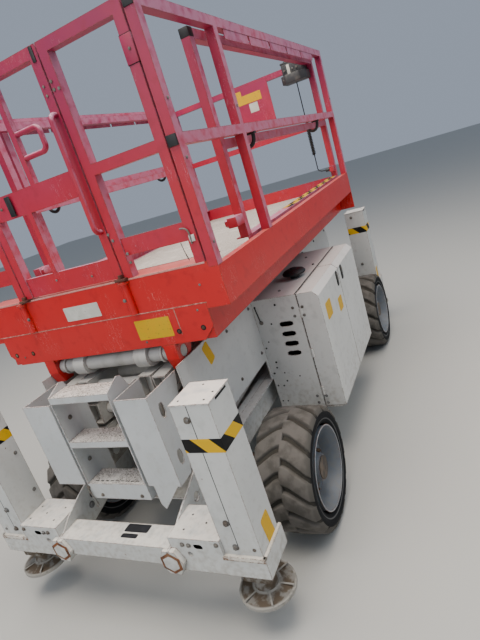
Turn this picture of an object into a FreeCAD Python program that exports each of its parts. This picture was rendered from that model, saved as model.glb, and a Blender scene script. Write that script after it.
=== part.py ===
"""Rough-terrain scissor lift with four outriggers, a roll-out deck and a swing gate.

The document keeps every driving size in one sheet. Each piece is an object whose
sizes are bound to that sheet, so a changed cell moves all that depends on it.
Millimetres; +X points to the steered end, +Y to the left, +Z up, and the origin is
on the ground at the middle of the machine.
"""
import FreeCAD, Part
import math
import os
import Sketcher

doc = FreeCAD.newDocument("ScissorLift")
sheet = doc.addObject("Spreadsheet::Sheet", "Sizes")

# Driving sizes: alias, millimetres or degrees, what it is
SIZES = [
    # Wheels and axles
    ("wheelbase", 2246, "front to rear axle"),
    ("tyre_dia", 660, "over the lugs"),
    ("tyre_width", 300, "over the sidewalls"),
    ("tyre_face", 880, "outer sidewall from the middle of the machine"),
    ("tread_depth", 20, "height of the lugs"),
    ("tyre_sides", 16, "flats round a tyre"),
    ("lug_count", 16, "lugs on each half of a tread"),
    ("lug_width", 56, "lug across its run"),
    ("lug_slant", 30, "lugs against the axle, in degrees"),
    ("lug_start", 6, "inner end of a lug from the tyre's middle plane"),
    ("lug_fall", 16, "fall of a lug to its outer end"),
    ("shoulder", 14, "rounded edge of the tread"),
    ("rim_dia", 444, "over the rim's flange"),
    ("rim_wall", 7, "rim's sheet"),
    ("disc_inset", 95, "wheel disc behind the outer flange"),
    ("hub_radius", 88, "hub casting"),
    ("hub_reach", 62, "hub beyond the wheel disc"),
    ("axle_height", 120, "axle beam's depth"),
    ("axle_depth", 110, "axle beam, fore and aft"),
    ("kingpin_offset", 515, "steering pivot from the middle"),
    ("kingpin_radius", 24, "steering pin"),
    ("knuckle_radius", 48, "steering knuckle's barrel"),
    ("knuckle_height", 150, "steering knuckle's barrel"),
    ("spindle_radius", 42, "stub that carries the hub"),
    # Frame
    ("frame_length", 2952, "side walls"),
    ("arch_rear", -1300, "cut in the side walls over the rear wheels, where it starts"),
    ("arch_front", -590, "cut in the side walls over the rear wheels, where it ends"),
    ("arch_top", 732, "cut in the side walls over the rear wheels"),
    ("rail_top", 594.7, "top of the frame rails, the track of the lower rollers"),
    ("rail_bottom", 400, "bottom of the frame rails"),
    ("rail_inner", 335, "inner face of the frame rails"),
    ("rail_width", 45, "frame rail"),
    ("wall_outer", 440, "outer face of the tall side walls"),
    ("wall_top", 1160, "top of the tall side walls"),
    ("plate", 6, "sheet of walls, boxes and covers"),
    ("floor_plate", 10, "belly plate"),
    ("fork_proud", 38, "frame's forks beyond the columns"),
    ("fork_low", 336, "lowest edge of the forks"),
    ("fork_high", 462, "top edge at the forks' tips"),
    ("fork_plate", 10, "fork side plate"),
    # Outriggers
    ("column_size", 177, "square column"),
    ("column_end", 1828, "outer face from the middle, fore and aft"),
    ("column_side", 785, "outer face from the middle, sideways"),
    ("column_top", 1164, "top of the column"),
    ("column_base", 434, "bottom of the column"),
    ("column_wall", 6, "column's sheet"),
    ("cap_plate", 6, "column's lid"),
    ("cap_lip", 2, "overhang of the lid"),
    ("guard_rim", 14, "foot guard around the column"),
    ("guard_low", 333, "bottom of the foot guard"),
    ("wing_top", 518, "top of the outrigger wings"),
    ("beam_half", 285, "half length of the middle beam"),
    ("beam_proud", 22, "middle beam beyond the columns"),
    ("beam_depth", 132, "middle beam, fore and aft"),
    ("beam_low", 366, "bottom of the middle beam"),
    ("beam_high", 463, "top of the middle beam"),
    ("leg_size", 130, "square leg"),
    ("leg_top", 1090, "top of the leg when it is drawn up"),
    ("leg_low", 262, "bottom of the leg's tube"),
    ("leg_travel", 420, "stroke of the leg"),
    ("pad_radius", 132, "round foot"),
    ("pad_rim", 16, "thickness of the foot at its edge"),
    ("pad_low", 172, "underside of the foot when it is drawn up"),
    ("pad_ribs", 3, "ribs across the round foot"),
    ("pad_neck", 46, "radius of the foot's neck"),
    # Ladder and covers at the rear
    ("ladder_end", 1682, "rear edge of the treads"),
    ("ladder_peak", 1200, "highest corner of the stringers"),
    ("cover_hole", 74, "hand hole in the side of a cover"),
    ("gusset_low", 525, "tip of the gusset under the right cover"),
    ("ladder_half", 186, "outer face of the stringers"),
    ("ladder_top", 1162, "upper face of the top tread"),
    ("tread_pitch", 248, "from tread to tread"),
    ("tread_count", 3, "treads"),
    ("tread_run", 118, "depth of a tread"),
    ("tread_lip", 34, "turned-down edge of a tread"),
    ("kick_plate", 90, "plate under the lowest tread"),
    ("cover_inner", 201, "inner edge of the cover boxes"),
    ("cover_outer", 387, "outer edge of the cover boxes"),
    ("cover_top", 1123, "top of the cover boxes"),
    ("cover_low", 659, "bottom of the cover boxes"),
    ("cover_run_top", 254, "side plate of a cover at its top"),
    ("cover_run_low", 206, "side plate of a cover at its bottom"),
    ("bulkhead_top", 900, "rear and front bulkheads"),
    # Side boxes
    ("box_rear", -567, "rear face of the side boxes"),
    ("box_front", 499, "front face of the side boxes"),
    ("box_outer", 872, "outer face of the side boxes"),
    ("door_wrap", 135, "doors wrap round the end faces by this"),
    ("box_low", 355, "bottom of the side boxes"),
    ("box_top", 1126, "top of the side boxes"),
    ("box_chamfer", 34, "slanted strip along the outer top edge"),
    ("door_gap", 6, "gap round the doors"),
    ("hinge_proud", 10, "door hinges beyond the fixed end faces"),
    ("knuckle_length", 60, "hinge knuckles of the doors and the gate"),
    ("gate_knuckle", 7.7, "radius of the gate's hinge knuckles"),
    ("slot_length", 88, "louvre slot"),
    ("slot_height", 32, "louvre slot"),
    ("slot_pitch", 66, "from slot to slot"),
    ("slot_inset", 105, "louvre slots from the seam"),
    ("slot_high", 949, "height of the top slot"),
    ("slot_count", 4, "slots in a column"),
    ("engine_long", 560, "engine block"),
    ("engine_wide", 230, "engine block"),
    ("engine_tall", 520, "engine block"),
    ("tank_long", 620, "tank and battery block"),
    ("tank_wide", 220, "tank and battery block"),
    ("tank_tall", 430, "tank and battery block"),
    ("bearer_height", 40, "bearers under the side boxes"),
    # Scissor stack
    ("arm_length", 2400, "pin to pin"),
    ("arm_pitch", 137.5, "rise of one level when the stack is down"),
    ("arm_levels", 4, "levels of crossed arms"),
    ("arm_height", 116, "arm tube"),
    ("arm_thick", 78, "arm tube"),
    ("arm_tail", 80, "open square end of an arm beyond its rear pin"),
    ("tail_pocket", 45, "depth of the open end"),
    ("arm_wall", 7, "wall of the arm tubes"),
    ("outer_arm", 330, "outer face of the outer arms"),
    ("inner_arm", 242, "outer face of the inner arms"),
    ("pin_radius", 30, "pins of the stack"),
    ("pin_gap", 0.3, "running gap of the stack's pins"),
    ("rear_pin", -1360, "column of rear pins"),
    ("low_pin", 640, "lowest pins"),
    ("roller_radius", 45, "rollers at the front pins"),
    ("roller_width", 38, "rollers at the front pins"),
    ("cross_radius", 38, "cross tubes"),
    ("cross_step", 190, "cross tubes from the pins"),
    ("lug_thick", 26, "pin lugs"),
    ("stub_level", 2, "level whose middle pins stop short for the cylinder"),
    ("run_gap", 0.3, "rollers, runners and guides clear their tracks by this"),
    # Lift cylinder
    ("barrel_radius", 50, "lift cylinder"),
    ("rod_radius", 32, "lift cylinder's rod"),
    ("barrel_share", 0.85, "barrel's pin along the lowest inner arm"),
    ("rod_share", 0.37, "rod's pin along the second inner arm"),
    ("rod_rise", 80, "rod's pin above that arm's axis"),
    ("barrel_length", 870, "barrel from its pin to its gland"),
    ("eye_radius", 46, "eyes of the cylinder"),
    ("eye_width", 60, "eyes of the cylinder"),
    ("eye_pin", 22, "pins of the cylinder"),
    ("lug_rise", 36, "cylinder lug beyond its pin"),
    # Platform
    ("deck_rear", -1416, "rear face of the platform"),
    ("deck_front", 1408, "front face of the platform"),
    ("deck_half", 775, "outer face of the skirts"),
    ("skirt_low", 1391, "bottom of the skirts"),
    ("skirt_top", 1565, "top of the skirts"),
    ("skirt_lip", 42, "flange turned in at the top of a skirt"),
    ("skirt_plate", 8, "sheet of the skirts"),
    ("toe_top", 1592, "top of the rear toe plate"),
    ("deck_low", 1400, "underside of the fixed deck"),
    ("deck_plate", 35, "fixed deck"),
    ("track_inner", 345, "inner face of the platform's tracks"),
    ("track_width", 80, "platform's tracks"),
    ("side_beam", 652, "outer face of the side beams"),
    ("side_beam_width", 50, "side beams"),
    ("side_beam_low", 1249, "bottom of the side beams"),
    ("tail_low", 1248, "bottom of the rear plate"),
    ("tail_top", 1420, "top of the rear plate"),
    ("tail_half", 660, "half width of the rear plate"),
    ("tail_chamfer", 60, "cut lower corners of the rear plate"),
    ("tail_plate", 10, "rear plate"),
    ("bracket_low", 1112, "bottom of the hanging brackets"),
    ("bracket_inner", 360, "inner face of the hanging brackets"),
    ("bracket_width", 68, "hanging brackets"),
    # Rails
    ("rail_high", 2583, "top of the guard rails"),
    ("rail_mid", 2072, "axis of the middle rail"),
    ("rail_tube", 46, "square tube of the rails"),
    ("mid_post", -760, "middle post of the side rails"),
    ("gate_low", -297, "gate post on the right"),
    ("gate_high", 359, "gate post on the left"),
    ("gate_gap", 8, "gap round the gate"),
    ("toe_board", 96, "lowest band of the gate"),
    ("toe_band_low", 1690, "toe band of the fixed rear sections"),
    ("toe_band_top", 1768, "toe band of the fixed rear sections"),
    ("band_low", 1990, "middle band of the gate"),
    ("band_top", 2102, "middle band of the gate"),
    ("stile_low", 86, "short stile below the middle band"),
    ("stile_high", -4, "short stile above the middle band"),
    ("stile_width", 30, "short stiles of the gate"),
    ("handle_radius", 12, "round handles of the gate"),
    ("handle_bend", 26, "bends of the handles"),
    ("handle_top", 2318, "long handle"),
    ("handle_low", 1820, "long handle"),
    ("handle_off", 36, "long handle behind the gate"),
    ("loop_top", 2316, "short handle"),
    ("loop_low", 2214, "short handle"),
    ("loop_reach", 134, "short handle from its stile"),
    ("gate_rod", 19, "radius of the rods under the gate posts"),
    ("gate_rod_low", 1424, "rods under the gate posts"),
    ("gate_rod_top", 1586, "rods under the gate posts"),
    ("stop_plate", 46, "bent plates under the top rail"),
    ("stop_count", 5, "bent plates"),
    ("stop_start", -640, "first bent plate"),
    ("stop_pitch", 352, "from plate to plate"),
    # Roll-out deck
    ("ext_rear", -890, "rear end of the roll-out deck"),
    ("ext_front", 1352, "front face of its rails"),
    ("ext_half", 706, "outer face of its rails"),
    ("ext_plate", 28, "roll-out deck"),
    ("ext_gap", 5, "roll-out deck above the fixed one"),
    ("ext_top", 2545, "top of its side rails"),
    ("ext_toe", 132, "its toe boards"),
    ("ext_lip", 70, "ledge at the top of its toe boards"),
    ("ext_travel", 1200, "roll-out"),
    ("panel_left", 110, "red panel on the front rail"),
    ("panel_right", -300, "red panel on the front rail"),
    ("panel_top", 2528, "red panel on the front rail"),
    ("panel_low", 2130, "red panel on the front rail"),
    ("console_x", 1250, "control console"),
    ("console_y", -562, "control console"),
    ("console_low", 2400, "control console"),
    ("console_wide", 190, "control console"),
    ("console_deep", 150, "control console"),
    ("console_tall", 170, "control console"),
    ("cord_x", 1280, "plane of the console's cord"),
    ("cord_y", -560, "hanging part of the cord"),
    ("cord_radius", 4.5, "console's cord"),
    ("coil_radius", 18, "curly part of the cord, over its turns"),
    ("coil_top", 2080, "upper end of the curly part"),
    ("coil_low", 1790, "lower end of the curly part"),
    ("tail_drop", 90, "straight run below the curly part"),
    ("tail_bend", 60, "bend radius of the cord's tail"),
    ("tail_run", 8, "straight run before the plug"),
    ("plug_radius", 15, "cord's plug"),
    ("plug_length", 36, "cord's plug"),
    ("socket_size", 44, "cord's socket"),
    ("tie_radius", 25, "tie-down holes in the forks"),
    ("tie_x", 1560, "tie-down holes in the forks"),
    ("tie_z", 500, "tie-down holes in the forks"),
]
for row, (alias, number, note) in enumerate(SIZES, start=1):
    sheet.set(f"A{row}", alias)
    sheet.set(f"B{row}", str(number))
    sheet.set(f"C{row}", note)
    sheet.setAlias(f"B{row}", alias)
doc.recompute()


class Size:
    """A length or angle that knows its value and the formula that gives it from the sheet."""

    def __init__(self, number, formula):
        self.number = float(number)
        self.formula = formula

    def __add__(self, other):
        other = as_size(other)
        return Size(self.number + other.number, f"({self.formula} + {other.formula})")

    def __sub__(self, other):
        other = as_size(other)
        return Size(self.number - other.number, f"({self.formula} - {other.formula})")

    def __mul__(self, other):
        other = as_size(other)
        return Size(self.number * other.number, f"({self.formula} * {other.formula})")

    def __truediv__(self, other):
        other = as_size(other)
        return Size(self.number / other.number, f"({self.formula} / {other.formula})")

    def __radd__(self, other):
        return as_size(other) + self

    def __rsub__(self, other):
        return as_size(other) - self

    def __rmul__(self, other):
        return as_size(other) * self

    def __neg__(self):
        return Size(-self.number, f"(0 - {self.formula})")


def as_size(value):
    """A plain number as a Size; a Size as it is."""
    return value if isinstance(value, Size) else Size(value, f"({float(value)!r})")


def cosine(angle):
    return Size(math.cos(math.radians(angle.number)), f"cos({angle.formula})")


def sine(angle):
    return Size(math.sin(math.radians(angle.number)), f"sin({angle.formula})")


def arcsine(ratio):
    return Size(math.degrees(math.asin(ratio.number)), f"(asin({ratio.formula}) / 1 deg)")


def arctangent(ratio):
    return Size(math.degrees(math.atan(ratio.number)), f"(atan({ratio.formula}) / 1 deg)")


class Cells:
    """The sheet's cells as Size attributes."""


S = Cells()
for alias, number, note in SIZES:
    setattr(S, alias, Size(sheet.get(alias), f"Sizes.{alias}"))


def bind(piece, **formulas):
    """Binds properties of an object to formulas; a double underscore stands for a dot."""
    for name, size in formulas.items():
        piece.setExpression(name.replace("__", "."), as_size(size).formula)


def place(piece, x=0, y=0, z=0):
    """Puts an object at a point whose coordinates stay bound."""
    bind(piece, Placement__Base__x=x, Placement__Base__y=y, Placement__Base__z=z)
    return piece


def block(x, y, z):
    """A box between two values on each axis."""
    piece = doc.addObject("Part::Box", "Block")
    low = [as_size(pair[0]) for pair in (x, y, z)]
    high = [as_size(pair[1]) for pair in (x, y, z)]
    bind(piece, Length=high[0] - low[0], Width=high[1] - low[1], Height=high[2] - low[2])
    return place(piece, *low)


TURNS = {
    "x": FreeCAD.Rotation(FreeCAD.Vector(0, 1, 0), 90),
    "y": FreeCAD.Rotation(FreeCAD.Vector(1, 0, 0), -90),
    "z": FreeCAD.Rotation(),
}


def rod(axis, radius, span, at):
    """A round bar along an axis between two values; at gives its other two coordinates."""
    piece = doc.addObject("Part::Cylinder", "Rod")
    low, high = as_size(span[0]), as_size(span[1])
    bind(piece, Radius=radius, Height=high - low)
    piece.Placement.Rotation = TURNS[axis]
    spot = list(at)
    spot.insert("xyz".index(axis), low)
    return place(piece, *spot)


def join(*pieces):
    """One object that fuses all the pieces."""
    if len(pieces) == 1:
        return pieces[0]
    fused = doc.addObject("Part::MultiFuse", "Joined")
    fused.Shapes = list(pieces)
    fused.Refine = True
    return fused


def cut(base, *tools):
    """The base without the tools."""
    piece = doc.addObject("Part::Cut", "Cut")
    piece.Base = base
    piece.Tool = join(*tools)
    piece.Refine = True
    return piece


def mirror(piece, axis, about=0):
    """The piece on the other side of a plane across an axis."""
    normal = [FreeCAD.Vector(1, 0, 0), FreeCAD.Vector(0, 1, 0)]["xy".index(axis)]
    twin = doc.addObject("Part::Mirroring", "Mirrored")
    twin.Source = piece
    twin.Normal = normal
    bind(twin, **{f"Base__{axis}": about})
    return twin


def both(piece, axis):
    """The piece and its mirror image, as one object."""
    return join(piece, mirror(piece, axis))


# Sketch planes: the origin plane's role, and the two axes that its sketch draws in
PLANES = {"xy": "XY_Plane", "xz": "XZ_Plane", "yz": "YZ_Plane"}


def new_body(plane, label="Profiled"):
    """A body with an empty sketch on one of its own origin planes."""
    body = doc.addObject("PartDesign::Body", label)
    sketch = body.newObject("Sketcher::SketchObject", "Outline")
    role = PLANES[plane]
    sketch.AttachmentSupport = [(item, "") for item in body.Origin.OriginFeatures
                                if item.Role == role]
    sketch.MapMode = "FlatFace"
    return body, sketch


def draw(sketch, corners):
    """A closed outline whose corners are held from the origin by bound distances."""
    points = [(as_size(first), as_size(second)) for first, second in corners]
    start = sketch.GeometryCount
    vectors = [FreeCAD.Vector(first.number, second.number, 0) for first, second in points]
    for index, vector in enumerate(vectors):
        following = vectors[(index + 1) % len(vectors)]
        sketch.addGeometry(Part.LineSegment(vector, following), False)
    for index, (first, second) in enumerate(points):
        line = start + index
        following = start + (index + 1) % len(points)
        sketch.addConstraint(Sketcher.Constraint("Coincident", line, 2, following, 1))
        for kind, size in (("DistanceX", first), ("DistanceY", second)):
            held = Sketcher.Constraint(kind, -1, 1, line, 1, size.number)
            number = sketch.addConstraint(held)
            sketch.setExpression(f"Constraints[{number}]", size.formula)


def plate(plane, corners, span, holes=()):
    """A flat piece with a drawn outline and holes, between two values across its plane."""
    body, sketch = new_body(plane)
    draw(sketch, corners)
    for hole in holes:
        draw(sketch, hole)
    pad = body.newObject("PartDesign::Pad", "Pad")
    pad.Profile = sketch
    low, high = as_size(span[0]), as_size(span[1])
    bind(pad, Length=high - low)
    # The pad grows along -Y from the xz plane, and along +X or +Z from the others
    across = {"xy": "z", "xz": "y", "yz": "x"}[plane]
    bind(body, **{f"Placement__Base__{across}": high if plane == "xz" else low})
    return body


def revolve(corners, axis="y"):
    """A turned piece: the outline holds distances along the axis and radii."""
    plane = {"y": "xy", "z": "xz"}[axis]
    body, sketch = new_body(plane)
    draw(sketch, [(radius, along) for along, radius in corners])
    turned = body.newObject("PartDesign::Revolution", "Revolution")
    turned.Profile = sketch
    turned.ReferenceAxis = (sketch, ["V_Axis"])
    turned.Angle = 360.0
    return body


def at(piece, x=0, y=0, z=0):
    """A copy of the piece moved by a bound offset."""
    group = doc.addObject("Part::Compound", "Moved")
    group.Links = [piece]
    return place(group, x, y, z)


# Turns of a quarter ring drawn in the xy plane from +X to +Y, for the bends of the handles
QUARTERS = {
    "up": FreeCAD.Rotation(FreeCAD.Vector(-1, 0, 0), FreeCAD.Vector(0, 0, 1), FreeCAD.Vector(0, 1, 0), "XYZ"),
    "down": FreeCAD.Rotation(FreeCAD.Vector(-1, 0, 0), FreeCAD.Vector(0, 0, -1), FreeCAD.Vector(0, -1, 0), "XYZ"),
    "side_up": FreeCAD.Rotation(FreeCAD.Vector(0, -1, 0), FreeCAD.Vector(0, 0, 1), FreeCAD.Vector(-1, 0, 0), "XYZ"),
    "side_down": FreeCAD.Rotation(FreeCAD.Vector(0, -1, 0), FreeCAD.Vector(0, 0, -1), FreeCAD.Vector(1, 0, 0), "XYZ"),
}

NODES = {}


def keep(label, piece):
    """Names a finished piece; its label is its file's name."""
    piece.Label = label
    NODES[label] = piece
    return piece


# Places worked out from the driving sizes
S.fork_tip = S.column_end + S.fork_proud
S.beam_outer = S.column_end + S.beam_proud
S.box_seam = S.box_outer - S.door_wrap
S.door_pin = S.box_seam + S.hinge_proud
S.slot_centre = S.box_seam - S.slot_inset
S.hand_hole_x = S.plate * 12 - S.ladder_end
axle_x = S.wheelbase / 2
wheel_z = S.tyre_dia / 2
wheel_y = S.tyre_face - S.tyre_width / 2
tyre_inner = S.tyre_face - S.tyre_width
wall_inner = S.wall_outer - S.plate
frame_end = S.frame_length / 2
rail_outer = S.rail_inner + S.rail_width
column_x = S.column_end - S.column_size / 2
column_y = S.column_side - S.column_size / 2
stowed = arcsine(S.arm_pitch / S.arm_length)
arm_reach = S.arm_length * cosine(stowed)
front_pin = S.rear_pin + arm_reach
top_pin = S.low_pin + S.arm_levels * S.arm_pitch
track_low = top_pin + S.roller_radius + S.run_gap
deck_top = S.deck_low + S.deck_plate
ext_low = deck_top + S.ext_gap
rail_low = S.skirt_top
door_low = S.box_low + S.plate + S.door_gap
arm_inner = S.inner_arm - S.arm_thick

# Pins of the lift cylinder with the stack down
barrel_x = front_pin - arm_reach * S.barrel_share
barrel_z = S.low_pin + S.arm_pitch * S.barrel_share
rod_x = front_pin - arm_reach * S.rod_share + S.rod_rise * sine(stowed)
rod_z = S.low_pin + S.arm_pitch * (1 + S.rod_share) + S.rod_rise * cosine(stowed)
cylinder_lean = arctangent((rod_z - barrel_z) / (rod_x - barrel_x))
cylinder_length = (rod_x - barrel_x) / cosine(cylinder_lean)


def frame_rails():
    """The two rails that carry the axles and the lower rollers."""
    return both(block((-frame_end, frame_end), (S.rail_inner, rail_outer), (S.rail_bottom, S.rail_top)), "y")


def belly_plate():
    """Plate between the rails."""
    return block((-frame_end, frame_end), (-S.rail_inner, S.rail_inner),
                 (S.rail_bottom, S.rail_bottom + S.floor_plate))


def side_walls():
    """Tall side walls with their shelves, cut away over the rear wheels."""
    shelf_low = S.rail_top - S.floor_plate
    shelf = block((-frame_end, frame_end), (rail_outer, S.wall_outer), (shelf_low, S.rail_top))
    wall = plate("xz", [
        (-frame_end, shelf_low), (frame_end, shelf_low), (frame_end, S.wall_top), (-frame_end, S.wall_top)],
        (wall_inner, S.wall_outer),
        [[(S.arch_rear, S.rail_top), (S.arch_front, S.rail_top), (S.arch_front, S.arch_top),
          (S.arch_rear + 60, S.arch_top)]])
    return both(join(shelf, wall), "y")


def frame_forks():
    """Curved fork plates and bulkheads at both ends."""
    bulkhead = block((frame_end - S.plate, frame_end), (S.ladder_half, S.cover_outer - S.plate),
                     (S.rail_top, S.bulkhead_top))
    rise = S.rail_top - S.fork_high
    fork = plate("xz", [
        (frame_end, S.rail_bottom), (S.fork_tip - 130, S.fork_low), (S.fork_tip, S.fork_low),
        (S.fork_tip, S.fork_high), (S.fork_tip - 50, S.fork_high + 4), (S.fork_tip - 110, S.fork_high + rise * 0.35),
        (S.fork_tip - 190, S.fork_high + rise * 0.62), (S.fork_tip - 280, S.fork_high + rise * 0.86),
        (frame_end, S.rail_top + S.fork_plate * 3)], (S.rail_inner, S.rail_inner + S.fork_plate))
    tie = rod("y", S.tie_radius, (S.rail_inner - 20, S.rail_inner + 60), (S.tie_x, S.tie_z))
    return both(both(join(bulkhead, cut(fork, tie)), "y"), "x")


def arm_anchors():
    """Lugs with the pins that hold the lowest arms."""
    lug = block((S.rear_pin - 50, S.rear_pin + 50), (S.outer_arm + 5, S.outer_arm + 5 + S.lug_thick),
                (S.rail_top, S.low_pin + 60))
    pin = rod("y", S.pin_radius, (S.inner_arm + 10, S.outer_arm + 15), (S.rear_pin, S.low_pin))
    return both(join(lug, pin), "y")


def outrigger_beam():
    """Middle beam, wings and foot guards of the rear outriggers."""
    beam = block((-S.beam_outer, S.beam_depth - S.beam_outer), (-S.rail_inner, S.rail_inner), (S.beam_low, S.beam_high))
    wing = block((-S.column_end - S.guard_rim, S.column_size + S.guard_rim - S.column_end),
                 (S.rail_inner + S.fork_plate, S.column_side - S.column_size), (S.fork_low, S.wing_top))
    guard = block((-S.column_end - S.guard_rim, S.column_size + S.guard_rim - S.column_end),
                  (S.column_side - S.column_size - S.guard_rim, S.column_side + S.guard_rim),
                  (S.guard_low, S.column_base))
    half = S.column_size / 2 - S.column_wall
    well = block((-column_x - half, half - column_x), (column_y - half, column_y + half),
                 (S.guard_low - 10, S.column_base + 10))
    middle = (S.fork_low + S.fork_high) / 2
    reach = (S.fork_high - S.fork_low) / 2
    centre = S.rail_inner + S.fork_plate / 2
    end = plate("yz", [
        (centre - reach, middle), (centre - reach / 2, middle - reach), (centre + reach / 2, middle - reach),
        (centre + reach, middle), (centre + reach / 2, middle + reach), (centre - reach / 2, middle + reach)],
        (-S.fork_tip - 4, 80 - S.fork_tip))
    slit = block((-S.fork_tip - 10, 200 - S.fork_tip), (S.rail_inner, S.rail_inner + S.fork_plate),
                 (S.fork_low - 10, S.wing_top + 10))
    hole = rod("x", S.column_wall * 2, (-S.column_end - S.guard_rim - 5, S.guard_rim - S.column_end),
               (S.rail_inner + S.column_size / 2 + S.guard_rim, S.column_base))
    return cut(join(beam, both(join(wing, guard, end), "y")), both(join(well, slit, hole), "y"))


def outrigger_column():
    """Rear left column: a hollow square tube under a lid."""
    outer = S.column_size / 2
    inner = outer - S.column_wall
    tube = plate("xy", [(-outer, -outer), (outer, -outer), (outer, outer), (-outer, outer)],
                 (S.column_base, S.column_top - S.cap_plate),
                 [[(-inner, -inner), (inner, -inner), (inner, inner), (-inner, inner)]])
    place(tube, -column_x, column_y, S.column_base)
    guide = S.leg_size / 2 + S.run_gap
    collar = cut(block((-column_x - inner, inner - column_x), (column_y - inner, column_y + inner),
                       (S.column_base, S.column_base + 30)),
                 block((-column_x - guide, guide - column_x), (column_y - guide, column_y + guide),
                       (S.column_base - 5, S.column_base + 35)))
    rim = outer + S.cap_lip
    lid = block((-column_x - rim, rim - column_x), (column_y - rim, column_y + rim),
                (S.column_top - S.cap_plate, S.column_top))
    return join(tube, lid, collar)


def outrigger_leg():
    """Rear left leg with its round ribbed foot."""
    half = S.leg_size / 2
    tube = block((-column_x - half, half - column_x), (column_y - half, column_y + half), (S.leg_low, S.leg_top))
    foot = revolve([
        (S.pad_low, 0), (S.pad_low, S.pad_radius), (S.pad_low + S.pad_rim, S.pad_radius),
        (S.pad_low + S.pad_rim + 14, S.pad_neck + 12), (S.leg_low, S.pad_neck), (S.leg_low, 0)], "z")
    place(foot, -column_x, column_y, 0)
    ribs = []
    for index in range(int(S.pad_ribs.number)):
        bar = block((-S.pad_radius + 4, S.pad_radius - 4), (-4, 4), (S.pad_low + 4, S.pad_low + S.pad_rim + 14))
        turned = doc.addObject("Part::Compound", "Turned")
        turned.Links = [bar]
        angle = Size(180, "180") / S.pad_ribs * (index + 0.5)
        turned.Placement.Rotation = FreeCAD.Rotation(FreeCAD.Vector(0, 0, 1), angle.number)
        bind(turned, Placement__Rotation__Angle=angle)
        ribs.append(place(turned, -column_x, column_y, 0))
    return join(tube, foot, *ribs)


def ladder():
    """Stringers, three treads and the kick plate, with a box on each side."""
    bottom = S.ladder_top - (S.tread_count - 1) * S.tread_pitch - S.kick_plate
    stringer = plate("xz", [
        (-S.ladder_end, bottom), (-frame_end, bottom), (-frame_end, S.cover_top),
        (S.tread_run - S.ladder_end + 30, S.cover_top), (S.tread_run - S.ladder_end, S.ladder_peak - 8),
        (S.tread_run - S.ladder_end - 24, S.ladder_peak), (-S.ladder_end, S.ladder_top)],
        (S.ladder_half - S.plate, S.ladder_half))
    pieces = [both(stringer, "y")]
    span = (S.plate - S.ladder_half, S.ladder_half - S.plate)
    for index in range(int(S.tread_count.number)):
        top = S.ladder_top - index * S.tread_pitch
        pieces.append(block((-S.ladder_end, S.tread_run - S.ladder_end), span, (top - S.plate, top)))
        pieces.append(block((-S.ladder_end, S.plate - S.ladder_end), span, (top - S.tread_lip, top)))
    pieces.append(block((-S.ladder_end, S.plate - S.ladder_end), span, (bottom, bottom + S.kick_plate)))
    return join(*pieces)


def ladder_cover():
    """Left box beside the ladder, open at the front and top, with hand holes in its side."""
    face = block((-S.ladder_end, S.plate - S.ladder_end), (S.cover_inner, S.cover_outer), (S.cover_low, S.cover_top))
    holes = []
    for height in (S.cover_top - 103, S.cover_low + 113):
        x, half, wide = S.hand_hole_x, S.cover_hole / 2, S.cover_hole / 4
        holes.append([(x - wide, height - half + wide), (x - wide / 2, height - half), (x + wide / 2, height - half),
                      (x + wide, height - half + wide), (x + wide, height + half - wide),
                      (x + wide / 2, height + half), (x - wide / 2, height + half),
                      (x - wide, height + half - wide)])
    side = plate("xz", [
        (-S.ladder_end, S.cover_low), (S.cover_run_low - S.ladder_end - 105, S.cover_low),
        (S.cover_run_top - S.ladder_end, S.cover_top), (-S.ladder_end, S.cover_top)],
        (S.cover_outer - S.plate, S.cover_outer), holes)
    lip = block((-S.ladder_end, S.cover_run_low - S.ladder_end), (S.cover_inner, S.cover_inner + S.plate),
                (S.cover_low, S.cover_top))
    return join(face, side, lip)


def gusset():
    """Pointed plate under the right box."""
    return plate("yz", [(-S.cover_outer + 20, S.cover_low), (-S.cover_inner - 30, S.cover_low),
                        (-S.cover_inner - 30, S.gusset_low + 30), (-S.cover_inner - 50, S.gusset_low)],
                 (-S.ladder_end, S.plate - S.ladder_end))


def side_box():
    """Right side box without its doors: floor, top, inner wall and louvred end faces."""
    inner = (-S.wall_outer - S.plate, -S.wall_outer)
    depth = (-S.box_seam, -S.wall_outer)
    floor = block((S.box_rear, S.box_front), (-S.box_outer + 20, -S.wall_outer), (S.box_low, S.box_low + S.plate))
    top = block((S.box_rear, S.box_front), depth, (S.box_top - S.plate, S.box_top))
    back = block((S.box_rear, S.box_front), inner, (S.box_low, S.box_top))
    front = block((S.box_front - S.plate, S.box_front), depth, (S.box_low, S.box_top))
    slots = []
    half_x, half_z = S.slot_length / 2, S.slot_height / 2
    for index in range(int(S.slot_count.number)):
        z = S.slot_high - index * S.slot_pitch
        slots.append([(-S.slot_centre - half_x + half_z, z - half_z), (-S.slot_centre + half_x - half_z, z - half_z),
                      (-S.slot_centre + half_x, z - half_z / 2), (-S.slot_centre + half_x, z + half_z / 2),
                      (-S.slot_centre + half_x - half_z, z + half_z), (-S.slot_centre - half_x + half_z, z + half_z),
                      (-S.slot_centre - half_x, z + half_z / 2), (-S.slot_centre - half_x, z - half_z / 2)])
    rear = plate("yz", [
        (-S.box_seam, S.box_low), (-S.wall_outer, S.box_low), (-S.wall_outer, S.box_top),
        (-S.box_seam, S.box_top)], (S.box_rear, S.box_rear + S.plate), slots)
    bearers = [block((x - 30, x + 30), (-S.box_outer + 40, -rail_outer), (S.box_low - S.bearer_height, S.box_low))
               for x in (S.box_rear + 160, S.box_front - 160)]
    hangers = [block((x - 30, x + 30), (-S.wall_outer, -rail_outer), (S.box_low - S.bearer_height, S.rail_top - S.floor_plate))
               for x in (S.box_rear + 160, S.box_front - 160)]
    return join(floor, top, back, front, rear, *bearers, *hangers)


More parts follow.
